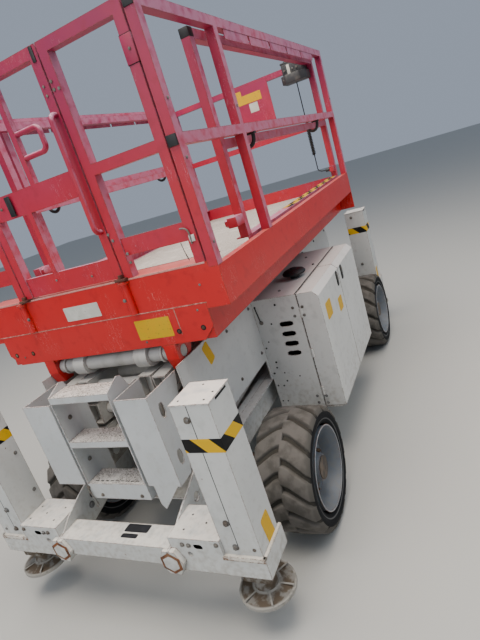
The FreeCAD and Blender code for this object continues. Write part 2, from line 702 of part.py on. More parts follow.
def door(rear):
    """One door of the right side box: side panel, wrapped end and slanted top strip."""
    middle = (S.box_rear + S.box_front) / 2
    outline = [
        (-S.box_outer, door_low), (-S.box_outer, S.box_top - S.box_chamfer),
        (-S.box_outer + S.box_chamfer, S.box_top), (-S.box_seam - S.door_gap, S.box_top),
        (-S.box_seam - S.door_gap, S.box_top - S.plate),
        (-S.box_outer + S.box_chamfer + 3, S.box_top - S.plate),
        (-S.box_outer + S.plate, S.box_top - S.box_chamfer - 3), (-S.box_outer + S.plate, door_low)]
    end = [
        (-S.box_outer, door_low), (-S.box_outer, S.box_top - S.box_chamfer),
        (-S.box_outer + S.box_chamfer, S.box_top), (-S.box_seam - S.door_gap, S.box_top),
        (-S.box_seam - S.door_gap, door_low)]
    if rear:
        hinge_x = S.box_rear + S.plate / 2
        shell = plate("yz", outline, (S.box_rear, middle - S.door_gap / 2))
        cap = plate("yz", end, (S.box_rear, S.box_rear + S.plate))
    else:
        hinge_x = S.box_front - S.plate / 2
        shell = plate("yz", outline, (middle + S.door_gap / 2, S.box_front))
        cap = plate("yz", end, (S.box_front - S.plate, S.box_front))
    radius = S.door_pin - S.box_seam - S.run_gap
    knuckles = [rod("z", radius, (z, z + S.knuckle_length), (hinge_x, -S.door_pin))
                for z in (S.box_low + 90, (S.box_low + S.box_top) / 2 - 30, S.box_top - 150)]
    return join(shell, cap, *knuckles)


def ring_section(radius, along):
    """A many-sided outline across the axle, its flats touching a circle of the radius."""
    half_turn = Size(180, "180") / S.tyre_sides
    outline = doc.addObject("Part::RegularPolygon", "Section")
    outline.Placement.Rotation = TURNS["y"]
    bind(outline, Polygon=S.tyre_sides, Circumradius=as_size(radius) / cosine(half_turn))
    return place(outline, 0, along, 0)


def ring(stations):
    """A solid through many-sided outlines; each station is a place along the axle and a radius."""
    skin = doc.addObject("Part::Loft", "Ring")
    skin.Sections = [ring_section(radius, along) for along, radius in stations]
    skin.Solid = True
    skin.Ruled = True
    return skin


def lug(side, turn):
    """One slanted bar of the tread on a side of the tyre, turned round the axle in degrees."""
    outer = S.tyre_dia / 2
    half = S.lug_width / 2
    length = (S.tyre_width / 2 - S.shoulder - 1 - S.lug_start - half * sine(S.lug_slant)) / cosine(S.lug_slant)
    low = outer - S.tread_depth * 2.5
    # Local X runs round the tyre, Y outwards and Z along the axle, here swung to one side
    bar = plate("yz", [(low, 0), (outer, 0), (outer - S.lug_fall, length), (low, length)], (-half, half))
    leaning = doc.addObject("Part::Compound", "Slanted")
    leaning.Links = [bar]
    leaning.Placement.Rotation = FreeCAD.Rotation(FreeCAD.Vector(0, 1, 0), side * S.lug_slant.number)
    bind(leaning, Placement__Rotation__Angle=S.lug_slant * side)
    place(leaning, 0, 0, S.lug_start)
    standing = doc.addObject("Part::Compound", "Standing")
    standing.Links = [leaning]
    standing.Placement.Rotation = FreeCAD.Rotation(FreeCAD.Vector(1, 0, 0), side * 90)
    turned = doc.addObject("Part::Compound", "Turned")
    turned.Links = [standing]
    turned.Placement.Rotation = FreeCAD.Rotation(FreeCAD.Vector(0, 1, 0), turn.number)
    bind(turned, Placement__Rotation__Angle=turn)
    return turned


def tyre():
    """Rear right tyre with its slanted lugs, open for its rim."""
    half = S.tyre_width / 2
    tread = S.tyre_dia / 2 - S.tread_depth
    bead = S.rim_dia / 2 - S.rim_wall
    carcass = ring([(-half + 14, bead + 4), (-half, tread - 40), (-half + S.shoulder, tread),
                    (half - S.shoulder, tread), (half, tread - 40), (half - 14, bead + 4)])
    bore = ring([(-half - 5, bead), (half + 5, bead)])
    step = Size(360, "360") / S.lug_count
    lugs = []
    for index in range(int(S.lug_count.number)):
        for side, lag in ((1, 0), (-1, 0.5)):
            lugs.append(lug(side, step * (index + lag)))
    return place(at(cut(join(carcass, *lugs), bore)), -axle_x, -wheel_y, wheel_z)


def rim():
    """Rear right rim with its disc and hub."""
    half = S.tyre_width / 2 - 18
    bead = S.rim_dia / 2 - S.rim_wall
    disc = -half + S.disc_inset
    drum = revolve([
        (-half - 14, bead + 7), (-half - 14, bead - 4), (-half + 30, bead - 20), (disc - 12, bead - 36),
        (disc - 12, S.hub_radius), (disc - 12 - S.hub_reach, S.hub_radius - 20), (disc - 12 - S.hub_reach, S.spindle_radius),
        (disc - 12 - S.hub_reach + 12, 0), (disc, 0), (disc, bead - 29), (half + 14, bead - 8), (half + 14, bead + 7), (half + 4, bead), (-half - 4, bead)], "y")
    return place(drum, -axle_x, -wheel_y, wheel_z)


def rear_axle():
    """Rear axle beam with its hub ends and the pads under the frame rails."""
    beam = block((-axle_x - S.axle_depth / 2, S.axle_depth / 2 - axle_x), (-tyre_inner + 70, tyre_inner - 70),
                 (wheel_z - S.axle_height / 2, wheel_z + S.axle_height / 2))
    end = rod("y", S.spindle_radius, (tyre_inner - 80, wheel_y + S.tyre_width / 2 - 18 - S.disc_inset - 0.3), (-axle_x, wheel_z))
    pad = block((-axle_x - 90, 90 - axle_x), (S.rail_inner, rail_outer),
                (wheel_z + S.axle_height / 2, S.rail_bottom))
    return join(beam, both(join(end, pad), "y"))


def front_axle():
    """Front axle beam with the forks that hold the steering knuckles."""
    gap = S.knuckle_height / 2 + S.run_gap
    beam = block((axle_x - S.axle_depth / 2, axle_x + S.axle_depth / 2), (S.knuckle_radius + 20 - S.kingpin_offset, S.kingpin_offset - S.knuckle_radius - 20),
                 (wheel_z - S.axle_height / 2, wheel_z + S.axle_height / 2))
    ears = []
    for low, high in ((wheel_z - gap - 24, wheel_z - gap), (wheel_z + gap, wheel_z + gap + 24)):
        ears.append(block((axle_x - 45, axle_x + 45), (S.kingpin_offset - 130, S.kingpin_offset + 30), (low, high)))
    web = block((axle_x - 45, axle_x + 45), (S.kingpin_offset - 130, S.kingpin_offset - 80),
                (wheel_z - gap - 24, wheel_z + gap + 24))
    pad = block((axle_x - 90, axle_x + 90), (S.rail_inner, rail_outer), (wheel_z + S.axle_height / 2, S.rail_bottom))
    return join(beam, both(join(web, pad, *ears), "y"))


def knuckle():
    """Right steering knuckle: barrel on the kingpin and the stub for the hub."""
    half = S.knuckle_height / 2
    barrel = rod("z", S.knuckle_radius, (wheel_z - half, wheel_z + half), (axle_x, -S.kingpin_offset))
    stub = rod("y", S.spindle_radius, (-wheel_y - (S.tyre_width / 2 - 18 - S.disc_inset) + 0.3, -S.kingpin_offset), (axle_x, wheel_z))
    return join(barrel, stub)


def arm_pair(face, bores, rear=None):
    """Two arm tubes along local X from pin to pin; rear tells which end is square and open.

    The other end is round, and bores gives the pin holes.
    """
    half = S.arm_height / 2
    span = (face - S.arm_thick, face)
    low, high = {None: (0, S.arm_length), "start": (-S.arm_tail, S.arm_length),
                 "end": (0, S.arm_length + S.arm_tail)}[rear]
    tube = block((low, high), span, (-half, half))
    rounded = {None: (0, S.arm_length), "start": (S.arm_length,), "end": (0,)}[rear]
    ends = [rod("y", half, span, (x, 0)) for x in rounded]
    if rear:
        mouth = {"start": (-S.arm_tail - 5, S.tail_pocket - S.arm_tail),
                 "end": (S.arm_length + S.arm_tail - S.tail_pocket, S.arm_length + S.arm_tail + 5)}[rear]
        inside = (face - S.arm_thick + S.arm_wall, face - S.arm_wall)
        tube = cut(tube, block(mouth, inside, (S.arm_wall - half, half - S.arm_wall)))
    holes = [rod("y", S.pin_radius + S.pin_gap, (face - S.arm_thick - 5, face + 5), (x, 0)) for x in bores]
    return both(cut(join(tube, *ends), *holes), "y")


def shaft(x, half, inner=None):
    """A pin across the stack at x, or two short pins that start at inner."""
    if inner is None:
        return rod("y", S.pin_radius, (-half, half), (x, 0))
    return both(rod("y", S.pin_radius, (inner, half), (x, 0)), "y")


def rollers(x, low):
    """A pair of rollers that starts at a distance from the middle."""
    return both(rod("y", S.roller_radius, (low, low + S.roller_width), (x, 0)), "y")


def outer_arms(level):
    """Outer arms of one level, from the rear pins up to the front pins."""
    middle = S.arm_length / 2
    parts = [arm_pair(S.outer_arm, [0], "start")]
    stub = arm_inner if level == int(S.stub_level.number) else None
    parts.append(shaft(middle, S.outer_arm - 20, stub))
    if level == int(S.arm_levels.number):
        low = S.track_inner + 4
        parts.append(rollers(S.arm_length, low))
        parts.append(shaft(S.arm_length, low + 10))
    else:
        parts.append(shaft(S.arm_length, S.outer_arm - 20))
    return join(*parts)


def inner_arms(level):
    """Inner arms of one level, from the front pins up to the rear pins; local -Z is up."""
    middle = S.arm_length / 2
    last = int(S.arm_levels.number)
    parts = [arm_pair(S.inner_arm, [middle] if level == 1 else [0, middle], None if level == last else "end")]
    for x in (S.cross_step, S.arm_length - S.cross_step):
        parts.append(rod("y", S.cross_radius, (-arm_inner, arm_inner), (x, 0)))
    if level == 1:
        parts.append(rollers(0, S.rail_inner + 2))
        parts.append(shaft(0, S.rail_inner + 10))
        x = S.arm_length * S.barrel_share
        parts.append(rod("y", S.eye_pin, (-arm_inner, arm_inner), (x, 0)))
        parts.append(both(rod("y", S.cross_radius, (S.eye_width / 2 + 4, arm_inner), (x, 0)), "y"))
    if level == 2:
        x = S.arm_length * S.rod_share
        parts.append(both(block((x - S.lug_rise, x + S.lug_rise), (arm_inner - 30, arm_inner - 6),
                                (-S.rod_rise - S.lug_rise, 40)), "y"))
        parts.append(both(block((x - S.lug_rise, x + S.lug_rise), (arm_inner - 6, arm_inner), (-40, 40)), "y"))
        parts.append(both(rod("y", 30, (S.eye_width / 2 + 4, arm_inner - 10), (x, -S.rod_rise)), "y"))
    if level == last:
        parts.append(rod("y", S.cross_radius, (3 - S.bracket_inner, S.bracket_inner - 3), (S.arm_length, 0)))
        parts.append(both(rod("y", S.cross_radius + 8, (S.outer_arm - 20, S.outer_arm - 4), (S.arm_length, 0)), "y"))
        parts.append(shaft(S.arm_length, S.bracket_inner + S.bracket_width - 2))
    else:
        parts.append(shaft(S.arm_length, S.outer_arm - 5))
    return join(*parts)


def lean(piece, angle, x, z):
    """Turns a piece drawn along local X upwards by an angle and puts its start at a point."""
    holder = doc.addObject("Part::Compound", "Leaning")
    holder.Links = [piece]
    holder.Placement.Rotation = FreeCAD.Rotation(FreeCAD.Vector(0, -1, 0), angle.number)
    bind(holder, Placement__Rotation__Angle=angle)
    return place(holder, x, 0, z)


def set_arm(piece, level, rising_forward):
    """Places a pair of arms at its lower pin and leans it by the stowed angle."""
    height = S.low_pin + (level - 1) * S.arm_pitch
    if rising_forward:
        return lean(piece, stowed, S.rear_pin, height)
    return lean(piece, 180 - stowed, front_pin, height)


def lift_barrel():
    """Barrel of the lift cylinder with its eye."""
    tube = rod("x", S.barrel_radius, (S.eye_radius - 8, S.barrel_length), (0, 0))
    gland = rod("x", S.barrel_radius + 5, (S.barrel_length - 60, S.barrel_length), (0, 0))
    eye = rod("y", S.eye_radius, (-S.eye_width / 2, S.eye_width / 2), (0, 0))
    bore = rod("y", S.eye_pin + S.pin_gap, (-S.eye_width, S.eye_width), (0, 0))
    hollow = rod("x", S.rod_radius + S.pin_gap, (S.eye_radius + 20, S.barrel_length + 5), (0, 0))
    return lean(cut(join(tube, gland, eye), bore, hollow), cylinder_lean, barrel_x, barrel_z)


def lift_rod():
    """Rod of the lift cylinder with its eye."""
    tube = rod("x", S.rod_radius, (S.eye_radius + 60, cylinder_length - S.eye_radius + 8), (0, 0))
    eye = rod("y", S.eye_radius, (-S.eye_width / 2, S.eye_width / 2), (cylinder_length, 0))
    return lean(join(tube, eye), cylinder_lean, barrel_x, barrel_z)


def platform_frame():
    """Rear plate, tracks, side beams and cross members under the deck."""
    inside = (S.deck_rear + S.tail_plate, S.deck_front - S.skirt_plate)
    beam = block(inside, (S.side_beam - S.side_beam_width, S.side_beam), (S.side_beam_low, S.deck_low))
    track = block(inside, (S.track_inner, S.track_inner + S.track_width), (track_low, S.deck_low))
    half = both(join(beam, track), "y")
    tail = plate("yz", [
        (-S.tail_half, S.tail_top), (-S.tail_half, S.tail_low + S.tail_chamfer),
        (S.tail_chamfer - S.tail_half, S.tail_low), (S.tail_half - S.tail_chamfer, S.tail_low),
        (S.tail_half, S.tail_low + S.tail_chamfer), (S.tail_half, S.tail_top)],
        (S.deck_rear, S.deck_rear + S.tail_plate))
    cross = [block((x - 30, x + 30), (-S.side_beam, S.side_beam), (track_low + 40, S.deck_low))
             for x in (S.deck_rear + 300, S.deck_rear + 1000, S.deck_front - 800, S.deck_front - 200)]
    return join(half, tail, *cross)


def platform_brackets():
    """Brackets that hang from the tracks and the rear plate, and hold the stack's top rear pin."""
    bracket = plate("xz", [
        (S.deck_rear, S.tail_low), (S.deck_rear, S.bracket_low + 60), (S.deck_rear + 24, S.bracket_low),
        (S.rear_pin + 30, S.bracket_low), (S.rear_pin + 95, track_low), (S.deck_rear + S.tail_plate, track_low),
        (S.deck_rear + S.tail_plate, S.tail_low)],
        (S.bracket_inner, S.bracket_inner + S.bracket_width))
    bore = rod("y", S.pin_radius + S.pin_gap, (S.bracket_inner - 5, S.bracket_inner + S.bracket_width + 5),
               (S.rear_pin, top_pin))
    return both(cut(bracket, bore), "y")


def platform_skirts():
    """Deep skirts with their turned-in lips, the rear toe plate and the front apron."""
    length = (S.deck_rear, S.deck_front)
    skirt = block(length, (S.deck_half - S.skirt_plate, S.deck_half), (S.skirt_low, S.skirt_top))
    lip = block(length, (S.deck_half - S.skirt_lip, S.deck_half), (S.skirt_top - S.skirt_plate, S.skirt_top))
    ledge = block((S.deck_rear + S.tail_plate, S.deck_front), (S.side_beam, S.deck_half),
                  (S.skirt_low, S.deck_low))
    toe_x = (S.deck_rear, S.deck_rear + S.skirt_plate)
    toe = block(toe_x, (-S.deck_half, S.deck_half), (S.tail_top, S.skirt_top))
    corner = both(block(toe_x, (S.tail_half, S.deck_half), (S.skirt_low, S.tail_top)), "y")
    upper = block(toe_x, (S.rail_tube - S.deck_half, S.deck_half - S.rail_tube), (S.skirt_top, S.toe_top))
    apron = block((S.deck_front - S.skirt_plate, S.deck_front), (-S.deck_half, S.deck_half),
                  (S.side_beam_low, S.deck_low))
    rods = []
    for y in (S.gate_low + S.gate_rod - 4, S.gate_high + S.rail_tube - 10):
        rods.append(rod("z", S.gate_rod, (S.gate_rod_low, S.gate_rod_top), (S.deck_rear - 4, y)))
        rods.append(rod("z", S.gate_rod + 10, (S.gate_rod_top - 14, S.gate_rod_top - 4), (S.deck_rear - 4, y)))
    cleared = block((S.deck_rear + S.skirt_plate, S.deck_rear + 60), (-S.deck_half, S.deck_half),
                    (S.tail_low, S.toe_top + 40))
    return join(both(join(skirt, lip, ledge), "y"), toe, corner, upper, apron, cut(join(*rods), cleared))


def platform_deck():
    """Fixed deck between the skirts."""
    return block((S.deck_rear + S.tail_plate, S.deck_front), (S.skirt_plate - S.deck_half, S.deck_half - S.skirt_plate),
                 (S.deck_low, deck_top))


def post(x, y, z):
    """An upright of the rails; x and y give its lower corner."""
    return block((x, x + S.rail_tube), (y, y + S.rail_tube), z)


def side_rail():
    """Left guard rail with the bent plates under its top tube."""
    y = S.deck_half - S.rail_tube
    top = block((S.deck_rear, S.deck_front), (y, S.deck_half), (S.rail_high - S.rail_tube, S.rail_high))
    middle = block((S.deck_rear, S.deck_front), (y, S.deck_half), (S.rail_mid - S.rail_tube / 2, S.rail_mid + S.rail_tube / 2))
    posts = [post(x, y, (rail_low, S.rail_high)) for x in (S.deck_rear, S.mid_post, S.deck_front - S.rail_tube)]
    stops = [block((S.stop_start + index * S.stop_pitch, S.stop_start + (index + 1) * S.stop_pitch - 24),
                   (S.deck_half - 6, S.deck_half - 2), (S.rail_high - S.rail_tube - S.stop_plate, S.rail_high - S.rail_tube))
             for index in range(int(S.stop_count.number))]
    return join(top, middle, *posts, *stops)


def rear_rail(low, high):
    """One fixed rear section between two values across the machine."""
    x = (S.deck_rear, S.deck_rear + S.rail_tube)
    top = block(x, (low, high), (S.rail_high - S.rail_tube, S.rail_high))
    middle = block(x, (low, high), (S.rail_mid - S.rail_tube / 2, S.rail_mid + S.rail_tube / 2))
    board = block((S.deck_rear + 8, S.deck_rear + 14), (low, high), (S.toe_band_low, S.toe_band_top))
    posts = [post(S.deck_rear, y, (S.toe_top, S.rail_high)) for y in (low, high - S.rail_tube)]
    return join(top, middle, board, *posts)


def elbow(centre, turns, bend, radius):
    """A quarter bend of round tube: turns is the rotation of a quarter ring drawn in the xy plane."""
    ring_part = doc.addObject("Part::Torus", "Elbow")
    bind(ring_part, Radius1=bend, Radius2=radius)
    ring_part.Angle3 = 90.0
    ring_part.Placement.Rotation = turns
    return place(ring_part, *centre)


def gate():
    """Swing gate between the two gate posts, with its two handles."""
    low, high = S.gate_low + S.gate_gap, S.gate_high - S.gate_gap
    x = (S.deck_rear, S.deck_rear + S.rail_tube)
    sheet_x = (S.deck_rear + 8, S.deck_rear + 34)
    bottom = S.toe_top + S.gate_gap
    top = block(x, (low, high), (S.rail_high - S.rail_tube, S.rail_high))
    band = block(sheet_x, (low, high), (S.band_low, S.band_top))
    board = block(sheet_x, (low, high), (bottom, bottom + S.toe_board))
    posts = [post(S.deck_rear, y, (bottom, S.rail_high)) for y in (low, high - S.rail_tube)]
    stiles = [block(sheet_x, (S.stile_low, S.stile_low + S.stile_width), (bottom + S.toe_board, S.band_low)),
              block(sheet_x, (S.stile_high, S.stile_high + S.stile_width),
                    (S.band_top, S.rail_high - S.rail_tube))]
    knuckles = [rod("z", S.gate_knuckle, (z, z + S.knuckle_length), (S.deck_rear + S.rail_tube, high))
                for z in (bottom + 60, S.rail_mid - 40, S.rail_high - 160)]
    # Long handle behind the free stile: two short legs, two bends and the grip
    y = low + S.rail_tube / 2
    grip_x = S.deck_rear - S.handle_off
    leg_x = (grip_x + S.handle_bend, S.deck_rear + 10)
    radius, bend = S.handle_radius, S.handle_bend
    long_handle = [
        rod("z", radius, (S.handle_low + bend, S.handle_top - bend), (grip_x, y)),
        rod("x", radius, leg_x, (y, S.handle_top)), rod("x", radius, leg_x, (y, S.handle_low)),
        elbow((grip_x + bend, y, S.handle_top - bend), QUARTERS["up"], bend, radius),
        elbow((grip_x + bend, y, S.handle_low + bend), QUARTERS["down"], bend, radius)]
    # Short loop beside the upper stile
    loop_x = S.deck_rear + 20
    side_y = S.stile_high - S.loop_reach
    leg_y = (side_y + bend, S.stile_high + 10)
    loop = [
        rod("z", radius, (S.loop_low + bend, S.loop_top - bend), (loop_x, side_y)),
        rod("y", radius, leg_y, (loop_x, S.loop_top)), rod("y", radius, leg_y, (loop_x, S.loop_low)),
        elbow((loop_x, side_y + bend, S.loop_top - bend), QUARTERS["side_up"], bend, radius),
        elbow((loop_x, side_y + bend, S.loop_low + bend), QUARTERS["side_down"], bend, radius)]
    return join(top, band, board, *posts, *stiles, *knuckles, *long_handle, *loop)


def extension_deck():
    """Roll-out deck plate with its toe boards and their ledges."""
    top = ext_low + S.ext_toe
    deck = block((S.ext_rear, S.ext_front), (-S.ext_half, S.ext_half), (ext_low, ext_low + S.ext_plate))
    toe = block((S.ext_rear, S.ext_front), (S.ext_half - 6, S.ext_half), (ext_low, top))
    ledge = block((S.ext_rear, S.ext_front), (S.ext_half - S.ext_lip, S.ext_half), (top - 6, top))
    front = block((S.ext_front - 6, S.ext_front), (-S.ext_half, S.ext_half), (ext_low, top))
    runner = block((S.ext_rear + 40, S.ext_front - 40), (S.ext_half - 90, S.ext_half - 30),
                   (deck_top + S.run_gap, ext_low))
    return join(deck, front, both(join(toe, ledge, runner), "y"))


def extension_sides():
    """Side rails of the roll-out deck."""
    y = S.ext_half - S.rail_tube
    length = (S.ext_rear, S.ext_front - S.rail_tube)
    top = block(length, (y, S.ext_half), (S.ext_top - S.rail_tube, S.ext_top))
    middle = block(length, (y, S.ext_half), (S.rail_mid - 70, S.rail_mid - 70 + S.rail_tube))
    end = post(S.ext_rear, y, (ext_low + S.ext_toe, S.ext_top))
    return both(join(top, middle, end), "y")


def extension_front():
    """Front rail of the roll-out deck with its posts, the sheet panel and the cord's socket."""
    x = S.ext_front - S.rail_tube
    posts = both(post(x, S.ext_half - S.rail_tube, (ext_low + S.ext_toe, S.ext_top)), "y")
    across = [block((x, S.ext_front), (-S.ext_half, S.ext_half), (z, z + S.rail_tube))
              for z in (S.ext_top - S.rail_tube, S.rail_mid - 70)]
    panel = block((x - 6, x), (S.panel_right, S.panel_left), (S.panel_low, S.panel_top))
    start = S.cord_y - S.tail_bend - S.tail_run - S.plug_length
    height = S.coil_low - S.tail_drop - S.tail_bend
    half = S.socket_size / 2
    socket = block((S.cord_x - half, x), (-S.ext_half + 6, start), (height - half, height + half))
    return join(posts, panel, socket, *across)


def console():
    """Control console hung on the front rail's right end: a broad foot and a raised body."""
    x = S.ext_front - S.rail_tube
    foot_top = S.console_low + S.console_tall * 0.4
    foot = plate("xz", [
        (x - S.console_deep - 30, S.console_low + 26), (x - S.console_deep + 20, S.console_low), (x, S.console_low),
        (x, foot_top), (x - S.console_deep, foot_top), (x - S.console_deep - 30, foot_top - 22)],
        (S.console_y - S.console_wide / 2 - 25, S.console_y + S.console_wide / 2))
    body = block((x - S.console_deep + 35, x), (S.console_y - S.console_wide / 2, S.console_y + S.console_wide / 2 - 20),
                 (foot_top, S.console_low + S.console_tall))
    return join(foot, body)


def cord_tail():
    """Lower end of the cord: down from the curly part, round a bend and into the plug."""
    body, spine = new_body("yz")
    radius, drop, run = S.tail_bend, S.tail_drop, S.tail_run
    level = -drop - radius
    spine.addGeometry(Part.LineSegment(FreeCAD.Vector(0, 0, 0), FreeCAD.Vector(0, -drop.number, 0)), False)
    bend = Part.Circle(FreeCAD.Vector(-radius.number, -drop.number, 0), FreeCAD.Vector(0, 0, 1), radius.number)
    spine.addGeometry(Part.ArcOfCircle(bend, -math.pi / 2, 0), False)
    spine.addGeometry(Part.LineSegment(FreeCAD.Vector(-radius.number, level.number, 0),
                                       FreeCAD.Vector(-(radius + run).number, level.number, 0)), False)
    spine.addConstraint(Sketcher.Constraint("Coincident", 0, 1, -1, 1))
    spine.addConstraint(Sketcher.Constraint("Vertical", 0))
    spine.addConstraint(Sketcher.Constraint("Tangent", 0, 2, 1, 2))
    spine.addConstraint(Sketcher.Constraint("Tangent", 1, 1, 2, 1))
    spine.addConstraint(Sketcher.Constraint("Horizontal", 2))
    for held, size in ((Sketcher.Constraint("Distance", 0, drop.number), drop),
                       (Sketcher.Constraint("Radius", 1, radius.number), radius),
                       (Sketcher.Constraint("Distance", 2, run.number), run)):
        number = spine.addConstraint(held)
        spine.setExpression(f"Constraints[{number}]", size.formula)
    section = body.newObject("Sketcher::SketchObject", "Section")
    section.AttachmentSupport = [(item, "") for item in body.Origin.OriginFeatures if item.Role == "XY_Plane"]
    section.MapMode = "FlatFace"
    section.addGeometry(Part.Circle(FreeCAD.Vector(0, 0, 0), FreeCAD.Vector(0, 0, 1), S.cord_radius.number), False)
    section.addConstraint(Sketcher.Constraint("Coincident", 0, 3, -1, 1))
    number = section.addConstraint(Sketcher.Constraint("Radius", 0, S.cord_radius.number))
    section.setExpression(f"Constraints[{number}]", S.cord_radius.formula)
    pipe = body.newObject("PartDesign::AdditivePipe", "Pipe")
    pipe.Profile = section
    pipe.Spine = spine
    return place(body, S.cord_x, S.cord_y, S.coil_low)


def cord_plug():
    """Plug at the tail's end."""
    start = S.cord_y - S.tail_bend - S.tail_run
    height = S.coil_low - S.tail_drop - S.tail_bend
    return rod("y", S.plug_radius, (start - S.plug_length, start), (S.cord_x, height))


keep("frame_rails", frame_rails())
keep("belly_plate", belly_plate())
keep("side_walls", side_walls())
keep("frame_forks", frame_forks())
keep("arm_anchors", arm_anchors())
rear_beam = keep("outrigger_beam_rear", outrigger_beam())
keep("outrigger_beam_front", mirror(rear_beam, "x"))
columns = keep("columns_rear", both(outrigger_column(), "y"))
keep("columns_front", mirror(columns, "x"))
leg = keep("leg_rear_left", outrigger_leg())
right_leg = keep("leg_rear_right", mirror(leg, "y"))
keep("leg_front_left", mirror(leg, "x"))
keep("leg_front_right", mirror(right_leg, "x"))
keep("ladder", join(ladder(), both(ladder_cover(), "y"), gusset()))
right_box = keep("side_box_right", side_box())
keep("side_box_left", mirror(right_box, "y"))
for end, is_rear in (("rear", True), ("front", False)):
    right_door = keep(f"door_right_{end}", door(is_rear))
    keep(f"door_left_{end}", mirror(right_door, "y"))
box_floor = S.box_low + S.plate
box_middle = (S.box_rear + S.box_front) / 2
engine = block((box_middle - S.engine_long / 2, box_middle + S.engine_long / 2),
               (-S.wall_outer - 40 - S.engine_wide, -S.wall_outer - 40),
               (box_floor, box_floor + S.engine_tall))
tank = block((box_middle - S.tank_long / 2, box_middle + S.tank_long / 2),
             (S.wall_outer + 40, S.wall_outer + 40 + S.tank_wide),
             (box_floor, box_floor + S.tank_tall))
keep("power_blocks", join(engine, tank))
keep("axle_rear", rear_axle())
keep("axle_front", front_axle())
right_knuckle = keep("knuckle_right", knuckle())
keep("knuckle_left", mirror(right_knuckle, "y"))
for name, piece in (("tyre", tyre()), ("rim", rim())):
    right = keep(f"{name}_rear_right", piece)
    left = keep(f"{name}_rear_left", mirror(right, "y"))
    keep(f"{name}_front_right", mirror(right, "x"))
    keep(f"{name}_front_left", mirror(left, "x"))
for level in range(1, int(S.arm_levels.number) + 1):
    keep(f"arms_outer_{level}", set_arm(outer_arms(level), level, True))
    keep(f"arms_inner_{level}", set_arm(inner_arms(level), level, False))
keep("lift_barrel", lift_barrel())
keep("lift_rod", lift_rod())
keep("platform_frame", platform_frame())
keep("platform_brackets", platform_brackets())
keep("platform_skirts", platform_skirts())
keep("platform_deck", platform_deck())
left_rail = keep("rail_left", side_rail())
keep("rail_right", mirror(left_rail, "y"))
section_end = S.deck_half - S.rail_tube - S.gate_gap
keep("rails_rear", join(rear_rail(-section_end, S.gate_low), rear_rail(S.gate_high, section_end)))
keep("gate", gate())
keep("extension_deck", extension_deck())
keep("extension_sides", extension_sides())
keep("extension_front", extension_front())
keep("console", console())
console_foot = S.console_low
keep("cord_straight", rod("z", S.cord_radius, (S.coil_top, console_foot), (S.cord_x, S.cord_y)))
keep("cord_coil", rod("z", S.coil_radius, (S.coil_low, S.coil_top), (S.cord_x, S.cord_y)))
keep("cord_tail", cord_tail())
keep("cord_plug", cord_plug())

doc.recompute()
faults = [item.Label for item in doc.Objects if "Invalid" in item.State or "Error" in item.State]
for label, piece in NODES.items():
    if piece.Shape.isNull() or not piece.Shape.isValid() or not piece.Shape.Solids:
        faults.append(label)
if faults:
    raise RuntimeError("failed pieces: " + ", ".join(sorted(set(faults))))

# Places of the stack's pins, for the record
for label, size in (("stowed angle", stowed), ("front pin", front_pin), ("top pin", top_pin),
                    ("barrel x", barrel_x), ("barrel z", barrel_z), ("rod x", rod_x), ("rod z", rod_z),
                    ("cylinder lean", cylinder_lean), ("cylinder length", cylinder_length)):
    print(f"{label}: {size.number:.4f}")

os.makedirs("parts", exist_ok=True)
for label, piece in NODES.items():
    piece.Shape.exportStep(f"parts/{label}.step")
    print(f"{label:22s} solids {len(piece.Shape.Solids)} faces {len(piece.Shape.Faces):4d}"
          f" volume {piece.Shape.Volume / 1e6:9.3f} dm3")
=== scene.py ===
"""Dresses a rough-terrain scissor lift with its finishes, small fittings and light."""
import logging
import math
from dataclasses import dataclass, field
from enum import Enum
from typing import ClassVar, Iterable, Sequence

import bmesh
import bpy
from mathutils import Matrix, Vector


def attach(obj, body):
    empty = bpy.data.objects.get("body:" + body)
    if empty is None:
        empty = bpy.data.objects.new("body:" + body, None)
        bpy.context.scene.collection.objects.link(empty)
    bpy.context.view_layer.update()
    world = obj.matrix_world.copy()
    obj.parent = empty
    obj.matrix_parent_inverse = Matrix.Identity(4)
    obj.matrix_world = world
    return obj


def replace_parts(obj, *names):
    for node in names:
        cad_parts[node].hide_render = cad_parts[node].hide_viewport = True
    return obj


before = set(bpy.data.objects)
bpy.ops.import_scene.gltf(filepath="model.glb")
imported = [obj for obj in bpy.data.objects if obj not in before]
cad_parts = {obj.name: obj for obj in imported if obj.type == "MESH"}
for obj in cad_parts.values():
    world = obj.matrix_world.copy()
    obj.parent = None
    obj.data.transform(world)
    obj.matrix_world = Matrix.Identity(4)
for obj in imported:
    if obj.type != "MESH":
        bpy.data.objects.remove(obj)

log = logging.getLogger("scissor_lift")
Socket = bpy.types.NodeSocket
Tree = bpy.types.NodeTree
Mesh = bmesh.types.BMesh
Point = Sequence[float]
Pairs = tuple[tuple[float, float], ...]
Inputs = dict[str | int, object]
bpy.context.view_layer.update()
IDENTITY = Matrix.Identity(4)
FULL_TURN = 2 * math.pi
REAR, RIGHT, LEFT, UP = (-1, 0, 0), (0, -1, 0), (0, 1, 0), (0, 0, 1)
# Thickness of a film or blank plate, in metres
FILM = 0.0008
# A map from one range to 0 and 1 with soft ends
SOFT = {"interpolation_type": "SMOOTHSTEP"}


class End(Enum):
    """The machine's two ends, each with its sign along X."""

    REAR = -1.0
    FRONT = 1.0


class Side(Enum):
    """The machine's two sides, each with its sign along Y."""

    RIGHT = -1.0
    LEFT = 1.0


def linear(code: str) -> tuple[float, float, float, float]:
    """Turns an sRGB hex colour into the linear colour that a shader takes.

    Args:
        code: Six hex digits after a hash sign.

    Returns:
        Red, green, blue and an alpha of one.
    """
    parts = [int(code[place:place + 2], 16) / 255 for place in (1, 3, 5)]
    turned = [part / 12.92 if part <= 0.04045 else ((part + 0.055) / 1.055) ** 2.4 for part in parts]
    return (turned[0], turned[1], turned[2], 1.0)


